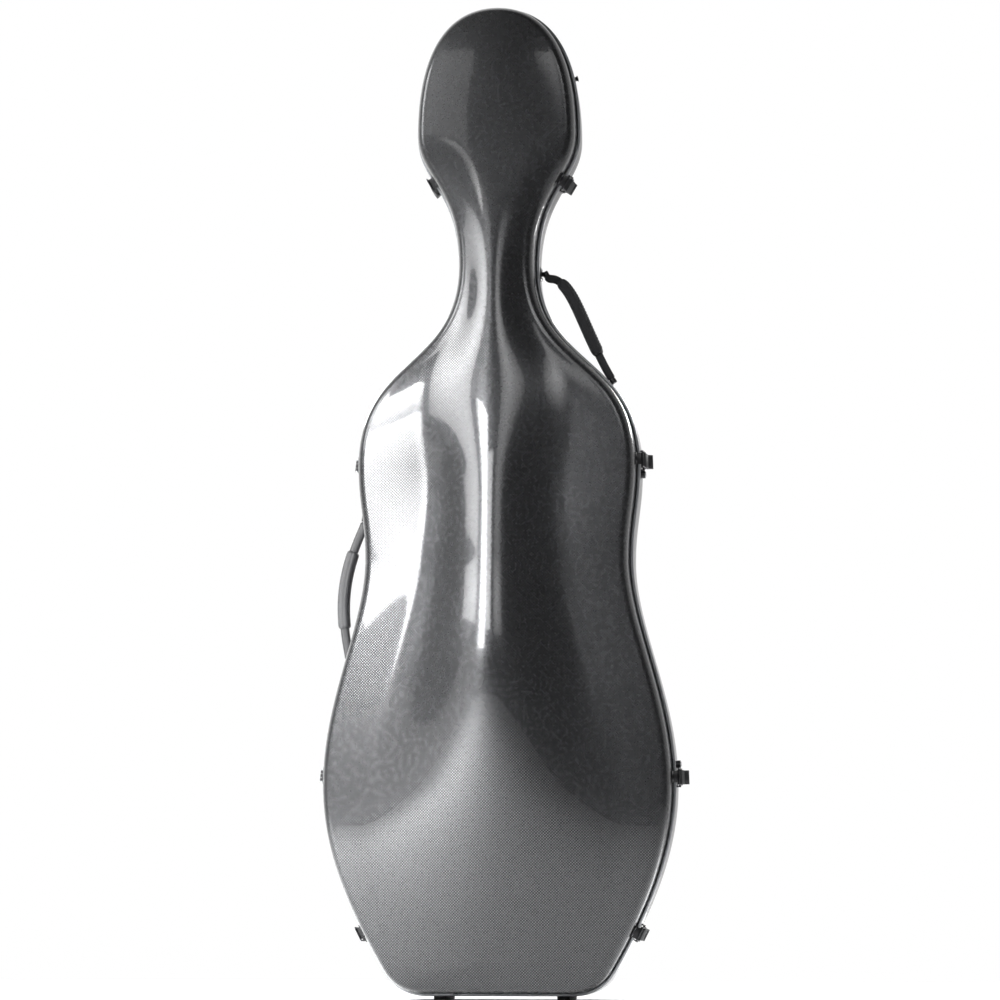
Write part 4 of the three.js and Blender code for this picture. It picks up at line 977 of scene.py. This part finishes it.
def makeEdges():
    tree = edgeTree()
    for name, e in edges.items():
        bead = grown(name, outlineMesh(name, 0, 0), tree, {
            "Near": e["sign"] * seamGap * mm,
            "Far": e["sign"] * e["far"] * mm,
            "Inside": e["inside"] * mm,
            "Outside": e["outside"] * mm,
            "Radius": e["radius"] * mm,
            "Lip Far": e["sign"] * e["lipFar"] * mm,
            "Lip Inside": e["lipInside"] * mm,
            "Lip Outside": (e["inside"] + e["outside"]) / 2 * mm,
            "Material": finishes[e["finish"]],
        })
        replaceNode(bead, e["node"], e["body"])
    tree = wireTree()
    for body in ("lid", "back"):
        name = body + "Piping"
        lining = dishes[body + "Lining"]
        depth = lining["form"]["sign"] * lining["edge"]
        cord = grown(name, outlineMesh(name, -piping["inset"], depth), tree, {
            "Radius": piping["radius"] * mm, "Material": finishes["piping"],
        })
        added(cord, body)


makeCamera()
makeLamps()
makeRoom()
makeShells()
makeEdges()
print("shells, linings, beads and seal are made")


# Metal and moulded fittings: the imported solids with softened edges

# finish: how the names of its nodes start, and how wide their softened edges are
fittings = {
    "blackMetal": (
        ["latch_base_", "latch_keeper_", "hinge_leaf_", "side_handle_bracket_", "shoulder_strap_anchor_",
         "head_stud_", "strap_plate_"], 0.3 * mm,
    ),
    "plastic": (["latch_lever_", "bow_clip_"], 0.6 * mm),
    "darkSteel": (["latch_bail_"], 0.0),
    "steel": (["lock_barrel_", "hinge_pin_"], 0.15 * mm),
    "rubber": (["rubber_foot_"], 1.2 * mm),
    "plush": (["neck_cradle", "end_rest"], 3.5 * mm),
}
softening = {
    "samePoint": 0.01 * mm,
    "sameFace": 1,         # faces that turn less than this, in degrees, become one
    "edgeFrom": 38,        # edges that turn more than this are softened
    "steps": 2,
    "wide": 2 * mm,        # from this width on an edge takes more steps
    "wideSteps": 4,
    "fill": 0.6,
}


def bodyOfNode(node):
    for body, members in frame["record"]["behaviour"]["bodies"].items():
        if node in members:
            return body


def softened(node, width, material):
    packed = frame["nodes"][node].data
    mesh = packed.copy()
    bm = bmesh.new()
    bm.from_mesh(mesh)
    bmesh.ops.remove_doubles(bm, verts=bm.verts, dist=softening["samePoint"])
    sameFace = math.radians(softening["sameFace"])
    bmesh.ops.dissolve_limit(bm, angle_limit=sameFace, verts=bm.verts, edges=bm.edges)
    bm.to_mesh(mesh)
    bm.free()
    obj = newObject("soft." + node, mesh, material)
    if width > 0:
        bevel = obj.modifiers.new("edges", "BEVEL")
        bevel.width = width
        bevel.segments = softening["steps"] if width < softening["wide"] else softening["wideSteps"]
        bevel.limit_method = "ANGLE"
        bevel.angle_limit = math.radians(softening["edgeFrom"])
        bevel.use_clamp_overlap = True
        baked(obj, obj.name)
    smoothShade(obj.data, fittingSharp)
    replaceNode(obj, node, bodyOfNode(node))
    return obj


def makeFittings():
    for finish, (starts, width) in fittings.items():
        for node in sorted(frame["nodes"]):
            if any(node.startswith(start) for start in starts):
                piece = softened(node, width, finishes[finish])


# Handles, in millimetres. Each is a bow between two pins, in the plane of its joint's line and the way out
# of the wall. It has a core, which runs from pin to pin, and a grip. deep and wide are half of a section's
# depth and width. Over the length end they shrink to the shares endDeep and endWide at both ends.

sideHandle = {
    "joint": "side_handle_hinge", "body": "side_handle", "side": -1, "pinPiece": "sideHandlePins",
    "eyeHalf": 4, "gap": 0.3, "pin": 2.4, "arm": 5.9, "rise": 17, "leanPower": 1, "archPower": 0.9,
    "steps": 90, "rounds": 5,
    "core": {
        "piece": "sideHandleArms", "node": "side_handle_core", "finish": "handlePlastic", "slot": "plastic",
        "deep": 5.9, "wide": 5.9, "power": 3.2, "sides": 36, "end": 4, "endDeep": 0.55, "endWide": 0,
    },
    "grip": {
        "piece": "sideHandleGrip", "node": "side_handle_grip", "finish": "handleCover", "slot": "rubber",
        "from": 0.2, "to": 0.8,
        "deep": 8.3, "wide": 10.4, "power": 2.9, "sides": 60, "end": 5, "endDeep": 0.72, "endWide": 0.72,
    },
    "seamAt": -1.5, "seamHalf": 0.75, "seamDepth": 0.06,
}
neckHandle = {
    "joint": "shoulder_strap_hinge", "body": "shoulder_strap", "side": 1, "pinPiece": "neckHandlePins",
    "eyeHalf": 3, "gap": 0.3, "pin": 2.2, "arm": 5.6, "rise": 14, "leanPower": 3.1, "archPower": 0.45,
    "steps": 110, "rounds": 8,
    "core": {
        "piece": "neckHandleBand", "node": "shoulder_strap", "finish": "webbing", "slot": "webbing",
        "deep": 5.5, "wide": 5.6, "power": 5, "sides": 36, "end": 4, "endDeep": 0.6, "endWide": 1,
    },
    "grip": {
        "piece": "neckHandleSleeve", "node": "shoulder_strap_sleeve", "finish": "sleeve", "slot": "webbing",
        "from": 0.2, "to": 0.93, "fill": 0.7,
        "deep": 8.2, "wide": 13.1, "power": 3.6, "sides": 48, "end": 9, "endDeep": 0.62, "endWide": 0.886,
    },
    # stitches: out and across from the middle of the sleeve, and how many points they keep from its ends
    "stitchRows": [(5.4, -12.6), (-5.4, -12.6), (5.4, 12.6), (-5.4, 12.6), (8.0, -9.5), (8.0, 9.5)],
    "stitchInset": 6,
}
stitch = {
    "length": 3.2, "radius": 0.42, "spacing": 4.4, "sides": 6,
    "profile": [(-0.5, 0.3), (-0.35, 0.9), (0, 1), (0.35, 0.9), (0.5, 0.3)],  # shares of length and radius
}
pinShape = {"sides": 20, "end": [(0, 0.6), (0.05, 0.8), (0.5, 1)]}  # length from its end, share of its radius
bowSamples = 600
leastEnd = 0.05  # the least share of a section


def jointNamed(name):
    return next(joint for joint in frame["joints"] if joint["name"] == name)


# Start, direction, way out and across of a handle, in metres, and its span between the eyes in millimetres
def handleLine(h):
    joint = jointNamed(h["joint"])
    start = np.array(joint["pos_m"])
    along = np.array(joint["axis"]) / np.linalg.norm(joint["axis"])
    corners = np.array([v.co for v in frame["nodes"][h["core"]["node"]].data.vertices])
    span = ((corners - start) @ along).max() / mm - h["eyeHalf"]
    out = np.array([h["side"], 0, 0]) - along * along[0] * h["side"]
    out /= np.linalg.norm(out)
    return start, along, out, np.cross(along, out), span


# The bow from one eye to the other as points at even steps, and each point's share of the way
def bowPoints(h):
    start, along, out, _, span = handleLine(h)
    free = h["eyeHalf"] + 2 * h["gap"]
    turnIn = free + h["arm"]
    share = np.linspace(0, 1, bowSamples)
    rise = h["rise"] * np.sin(math.pi * share ** h["leanPower"]).clip(0) ** h["archPower"]
    up = turnIn + (span - 2 * turnIn) * share
    path = np.stack([np.concatenate([[free], up, [span - free]]), np.concatenate([[0], rise, [0]])], axis=1)
    path = rounded(evenly(path, h["steps"]), h["rounds"])
    points = start + (path[:, :1] * along + path[:, 1:] * out) * mm
    return points, (path[:, 0] - turnIn) / (span - 2 * turnIn)


# A closed section from half its depth and half its width; power 2 is round, and more is squarer
def squircle(halfDeep, halfWide, power, sides):
    angle = np.linspace(0, 2 * math.pi, sides, endpoint=False) + math.pi
    c, s = np.cos(angle), np.sin(angle)
    deep = halfDeep * np.sign(c) * np.abs(c) ** (2 / power)
    wide = halfWide * np.sign(s) * np.abs(s) ** (2 / power)
    return np.stack([deep, wide], axis=1) * mm


# Sections carried along a path, square to it, and closed at both ends
def sweptMesh(name, points, across, sections):
    rings = []
    uvs = []
    for point, out, length, section in zip(points, waysOut(points, across), lengthsAlong(points), sections):
        closed = np.concatenate([section, section[:1]])
        rings.append(point + closed[:, :1] * out + closed[:, 1:] * across)
        uvs.append(np.stack([lengthsAlong(closed), np.full(len(closed), length)], axis=1))
    mesh = skinOf(name, capped(rings), [uvs[0], *uvs, uvs[-1]])
    smoothShade(mesh, skinSharp)
    return mesh


# The sections of a core or grip: they shrink over the given length at both ends
def endedSections(part, points):
    run = lengthsAlong(points) / mm
    near = np.minimum(run - run[0], run[-1] - run).clip(0, part["end"]) / part["end"]
    scale = np.sqrt(1 - (1 - near) ** 2).clip(leastEnd)
    deep = part["deep"] * (part["endDeep"] + (1 - part["endDeep"]) * scale)
    wide = part["wide"] * (part["endWide"] + (1 - part["endWide"]) * scale)
    return [squircle(d, w, part["power"], part["sides"]) for d, w in zip(deep, wide)]


def handlePart(h, key, points, sections):
    part = h[key]
    mesh = sweptMesh(part["piece"], points, handleLine(h)[3], sections)
    piece = newObject(part["piece"], mesh, finishes[part["finish"]])
    replaceNode(piece, part["node"], h["body"])
    return piece


# The core of a handle, and the points and sections for its grip
def makeCore(h):
    points, shares = bowPoints(h)
    handlePart(h, "core", points, endedSections(h["core"], points))
    gripPoints = points[(shares >= h["grip"]["from"]) & (shares <= h["grip"]["to"])]
    return gripPoints, endedSections(h["grip"], gripPoints)


def makePins(h):
    start, along, _, across, span = handleLine(h)
    reach = h["eyeHalf"] + 2 * h["gap"] + h["arm"]
    bm = bmesh.new()
    for low, high in ((-h["eyeHalf"], reach), (span - reach, span + h["eyeHalf"])):
        steps = np.array([low + length for length, _ in pinShape["end"]] + [high])
        radii = [h["pin"] * share for _, share in pinShape["end"]] + [h["pin"]]
        sections = [squircle(radius, radius, 2, pinShape["sides"]) for radius in radii]
        pin = sweptMesh("pin", start + along * steps[:, None] * mm, across, sections)
        bm.from_mesh(pin)
        bpy.data.meshes.remove(pin)
    mesh = meshOf(h["pinPiece"], bm)
    smoothShade(mesh, fittingSharp)
    added(newObject(h["pinPiece"], mesh, finishes["steel"]), h["body"])


# The grip's cover has a seam along each side; its inner half, which faces the wall, takes a darker copy of the
# cover's finish as painted shade
def makeSideHandle():
    h = sideHandle
    grip, sections = makeCore(h)
    for section in sections:
        groove = np.abs(section[:, 0] / mm - h["seamAt"]) < h["seamHalf"]
        section[groove, 1] *= 1 - h["seamDepth"]
    cover = handlePart(h, "grip", grip, sections)
    cover.data.materials.append(finishes["handleInner"])
    out = handleLine(h)[2]
    for face in cover.data.polygons:
        middle = np.array(face.center)
        nearest = grip[((grip - middle) ** 2).sum(axis=1).argmin()]
        # faces on the wall's side of the seam take the darker finish: painted shade
        if (middle - nearest) @ out < h["seamAt"] * mm:
            face.material_index = 1
    makePins(h)


def stitchTree():
    g = Growth("stitches", {"Stitch": "Object", "Spacing": "Float"})
    even = g.node("GeometryNodeResampleCurve", {"mode": "LENGTH"}, {
        "Curve": g.curve(), "Length": g.given("Spacing"),
    })
    turn = g.node("FunctionNodeAlignRotationToVector", {"axis": "X"}, {
        "Vector": g.node("GeometryNodeInputTangent", {}, {}),
    })
    return g.done(g.copies(even, g.objectGiven("Stitch"), turn))


# One stitch: a short thread that dips at both ends
def stitchObject():
    sides = stitch["sides"]
    angles = np.linspace(0, 2 * math.pi, sides, endpoint=False)
    rings = []
    for along, size in stitch["profile"]:
        radius = stitch["radius"] * size
        x = np.full(sides, along * stitch["length"])
        rings.append(np.stack([x, radius * np.cos(angles), radius * np.sin(angles)], axis=1) * mm)
    return newObject("stitch", skinOf("stitch", capped(rings)), finishes["thread"])


def sewn(name, rows, body):
    one = stitchObject()
    row = grown(name, pathMesh(name, rows), stitchTree(), {
        "Stitch": one, "Spacing": stitch["spacing"] * mm, "Material": finishes["thread"],
    })
    bpy.data.objects.remove(one)
    added(row, body)


def makeNeckHandle():
    h = neckHandle
    grip, sections = makeCore(h)
    handlePart(h, "grip", grip, sections)
    across = handleLine(h)[3]
    inner = grip[h["stitchInset"]:-h["stitchInset"]]
    outs = waysOut(inner, across)
    rows = [inner + (outs * deep + across * wide) * mm for deep, wide in h["stitchRows"]]
    sewn("neckHandleStitches", rows, h["body"])
    makePins(h)


# The strap over the neck cradle: webbing that bridges the trough and comes down both sides

neckStrap = {
    "thick": 2.4, "flat": 15, "over": 12, "down": 18, "steps": 90, "rounds": 3, "power": 7, "sides": 48,
    "edgeRow": 3, "stitchLift": 0.1,
    "crossRows": (4, 20, -21, -5), "crossPoints": 12,  # steps of the path where stitches cross the strap
}


def makeNeckStrap():
    s = neckStrap
    low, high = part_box("neck_strap")
    middle = (low + high) / 2
    top = high.y - s["down"] * mm
    outer = (high.x - low.x) / 2 - s["thick"] / 2 * mm
    flat = s["flat"] * mm
    bridge = top - (s["over"] + s["thick"] / 2) * mm
    right = [(flat, bridge), (outer, top), (outer, high.y)]
    corners = [(-x, y) for x, y in right[::-1]] + right
    path = np.array([(middle.x + x, y, middle.z) for x, y in corners])
    points = rounded(evenly(path, s["steps"]), s["rounds"])
    across = np.array([0, 0, 1.0])
    halfWide = (high.z - low.z) / 2 / mm
    section = squircle(s["thick"] / 2, halfWide, s["power"], s["sides"])
    mesh = sweptMesh("neckStrap", points, across, [section] * len(points))
    replaceNode(newObject("neckStrap", mesh, finishes["webbing"]), "neck_strap", "back")
    face = points + waysOut(points, across) * (s["thick"] / 2 + s["stitchLift"]) * mm
    rows = [face + across * side * (halfWide - s["edgeRow"]) * mm for side in (-1, 1)]
    for k in s["crossRows"]:
        rows.append(np.linspace(rows[0][k], rows[1][k], s["crossPoints"]))
    sewn("neckStrapStitches", rows, "back")


# Steel rings behind the case: a round wire bent to a loop that hangs from its plate, in millimetres.
# The loop is squarer in the plate's eye than at its free end.

strapRing = {
    "wire": 2.0, "half": 15, "drop": 24, "lean": 12, "steps": 72, "eyeSquareness": 5, "endSquareness": 2.3,
    "plateScrews": [(-13, -8), (13, -8), (-13, 8), (13, 8)], "screwsIn": 3.2,  # in from the ring's joint
    "leastBackward": 0.5, "mostSideways": 0.1,  # parts of the direction of the plate's outer face
}


# The joint's place, and the directions across, up and out of a ring's plate. The way out is that of the
# widest face that looks backwards and lies along the joint.
def plateFrame(side):
    joint = jointNamed(f"strap_ring_{side}_hinge")
    across = Vector(joint["axis"]).normalized()
    plate = frame["nodes"]["strap_plate_" + side].data
    flats = [
        face for face in plate.polygons
        if face.normal.y > strapRing["leastBackward"]
        and abs(face.normal.dot(across)) < strapRing["mostSideways"]
    ]
    out = max(flats, key=lambda face: face.area).normal.copy()
    if out.cross(across).z > 0:
        across.negate()
    return Vector(joint["pos_m"]), across, across.cross(out).normalized(), out


def makeRings():
    r = strapRing
    tree = wireTree()
    angle = np.linspace(0, 2 * math.pi, r["steps"], endpoint=False)
    c, s = np.cos(angle), np.sin(angle)
    power = 2 / np.where(s < 0, r["eyeSquareness"], r["endSquareness"])
    wide = r["half"] * np.sign(c) * np.abs(c) ** power
    drop = r["drop"] / 2 * (1 + np.sign(s) * np.abs(s) ** power)
    lean = math.radians(r["lean"])
    for side in ("left", "right"):
        centre, across, up, out = plateFrame(side)
        down = (up * -math.cos(lean) + out * math.sin(lean)).normalized()
        points = np.array(centre) + (wide[:, None] * np.array(across) + drop[:, None] * np.array(down)) * mm
        ring = grown("strapRing." + side, pathMesh("ring", [points], closed=True), tree, {
            "Radius": r["wire"] * mm, "Material": finishes["steel"],
        })
        replaceNode(ring, "strap_ring_" + side, "strap_ring_" + side)


makeFittings()
makeSideHandle()
makeNeckHandle()
makeNeckStrap()
makeRings()
print("fittings, handles, straps and rings are made")


# Screws and rivets: places in millimetres out of the wall, behind the seam and up the edge of each land

screwHead = {
    "sides": 16,
    "profile": [  # radius and height: the rim with a low dome, then the socket in it
        (0, -0.3), (1.9, -0.3), (1.9, 0.35), (1.558, 0.68), (1.0625, 0.8),
        (0.85, 0.76), (0.85, 0.28), (0, 0.24),
    ],
}
fasteners = [  # lands, sides, body, distance out of the wall, places
    (["upper", "lower"], [-1], "back", 1.8, [(22, -7), (22, 0), (22, 7)]),
    (["upper", "lower"], [-1], "lid", 1.8, [(-21.5, -7), (-21.5, 0), (-21.5, 7)]),
    (["handleLow", "handleHigh"], [-1], "back", 2.3, [(28, -8.5), (28, 8.5), (44, -8.5), (44, 8.5)]),
    (["shoulder", "neck"], [1], "back", 2.3, [(20.6, -5.9), (20.6, 5.9), (33.4, -5.9), (33.4, 5.9)]),
    (["upper"], [1], "back", 2.3, [(14, -15), (35.5, -15), (35.5, 14.5)]),
    (["lower"], [1], "back", 2.3, [(14, 15), (35.5, 15), (35.5, -14.5)]),
    (["upper"], [1], "lid", 1.8, [(-24.5, -1), (-24.5, 8)]),
    (["lower"], [1], "lid", 1.8, [(-24.5, 1), (-24.5, -8)]),
    (["latch", "corner"], [1, -1], "lid", 1.8, [(-24.5, -4.5), (-24.5, 4.5)]),
]


# A low domed head with a socket in it
def screwObject():
    sides = screwHead["sides"]
    angle = np.linspace(0, 2 * math.pi, sides, endpoint=False)
    rings = [
        np.stack([radius * np.cos(angle), radius * np.sin(angle), np.full(sides, high)], axis=1) * mm
        for radius, high in screwHead["profile"]
    ]
    return newObject("screw", skinOf("screw", rings), finishes["screwSteel"])


def headTree():
    g = Growth("heads", {"Head": "Object"})
    facing, along = (
        g.node("GeometryNodeInputNamedAttribute", {"data_type": "FLOAT_VECTOR"}, {"Name": name})
        for name in ("facing", "along")
    )
    upright = g.node("FunctionNodeAlignRotationToVector", {"axis": "Z"}, {"Vector": facing})
    turn = g.node("FunctionNodeAlignRotationToVector", {"axis": "X", "pivot_axis": "Z"}, {
        "Rotation": upright, "Vector": along,
    })
    return g.done(g.copies(g.given("Geometry"), g.objectGiven("Head"), turn))


# Copies of a head, one for each place, which gives its point, the way it faces and the way it lies
def placedHeads(name, places, head, material, body):
    mesh = bpy.data.meshes.new(name)
    mesh.from_pydata([tuple(point) for point, _, _ in places], [], [])
    for key, column in (("facing", 1), ("along", 2)):
        layer = mesh.attributes.new(key, "FLOAT_VECTOR", "POINT")
        layer.data.foreach_set("vector", [c for place in places for c in place[column]])
    added(grown(name, mesh, headTree(), {"Head": head, "Material": material}), body)


def makeScrews():
    placesOf = {"back": [], "lid": []}
    for landNames, sides, body, out, places in fasteners:
        for wall in [landFrame(land, side) for land in landNames for side in sides]:
            facing, along = wall.col[0].xyz.normalized(), wall.col[2].xyz.normalized()
            placesOf[body] += [(wall @ Vector((out, back, up)), facing, along) for back, up in places]
    for side in ("left", "right"):
        centre, across, up, out = plateFrame(side)
        face = centre - out * strapRing["screwsIn"] * mm
        for x, y in strapRing["plateScrews"]:
            placesOf["back"].append((face + (across * x + up * y) * mm, out, across))
    head = screwObject()
    for body, places in placesOf.items():
        placedHeads(body + "Screws", places, head, finishes["screwSteel"], body)
    bpy.data.objects.remove(head)
    print("screws:", sum(len(places) for places in placesOf.values()))


# Ribs on the levers' grips, whose tops slope outwards from the body of the lever to its end, in millimetres

leverRib = {
    "half": 6.5, "radius": 0.45, "sides": 8, "from": 0.25, "to": 0.8, "count": 4,
    "profile": [(-1, 0.3), (-0.94, 1), (0, 1), (0.94, 1), (1, 0.3)],  # shares of half and radius
}
gripSlope = {"from": 31, "to": 37.6, "fromOut": 12.6}
leverGrips = [  # latch, land, side, middle of the lever up the edge, how far out the grip ends
    ("head_left", "latch", -1, 0, 14), ("head_right", "latch", 1, 0, 14),
    ("upper_right", "upper", 1, 3.5, 18), ("lower_right", "lower", 1, -3.5, 18),
    ("corner_left", "corner", -1, 0, 14), ("corner_right", "corner", 1, 0, 14),
]


# One rib, lying along x
def ribObject():
    points = np.array([[share * leverRib["half"] * mm, 0, 0] for share, _ in leverRib["profile"]])
    sizes = [leverRib["radius"] * size for _, size in leverRib["profile"]]
    sections = [squircle(size, size, 2, leverRib["sides"]) for size in sizes]
    return newObject("rib", sweptMesh("rib", points, np.array([0, 1.0, 0]), sections), finishes["plastic"])


def makeLeverRibs():
    rib = ribObject()
    for latch, land, side, middle, endOut in leverGrips:
        wall = landFrame(land, side)
        start = wall @ Vector((gripSlope["fromOut"], gripSlope["from"], middle))
        end = wall @ Vector((endOut, gripSlope["to"], middle))
        along = wall.col[2].xyz.normalized()
        facing = (end - start).cross(along).normalized()
        if facing.dot(wall.col[0].xyz) < 0:
            facing.negate()
        shares = np.linspace(leverRib["from"], leverRib["to"], leverRib["count"])
        places = [(start.lerp(end, share), facing, along) for share in shares]
        placedHeads("leverRibs." + latch, places, rib, finishes["plastic"], "lever_" + latch)
    bpy.data.objects.remove(rib)


makeScrews()
makeLeverRibs()
print("screws and lever ribs are set")


# Floor

floor = {
    "half": 3.0, "front": -2.6, "back": 1.6, "color": (0.86, 0.87, 0.88), "palest": (0.9, 0.9, 0.9),
    "roughness": 0.6,
}


def floorFinish():
    f = Finish("paleFloor")
    soft = f.noise(f.place(), scale=1.5, detail=2.0)
    return f.done({
        "Base Color": f.mixed(soft, tone(floor["color"]), tone(floor["palest"])),
        "Roughness": floor["roughness"],
    })


def makeFloor():
    half, front, back = floor["half"], floor["front"], floor["back"]
    corners = [(-half, front, 0), (half, front, 0), (half, back, 0), (-half, back, 0)]
    mesh = bpy.data.meshes.new("floor")
    mesh.from_pydata(corners, [], [(0, 1, 2, 3)])
    newObject("floor", mesh, floorFinish())


makeFloor()
print("the floor is laid")
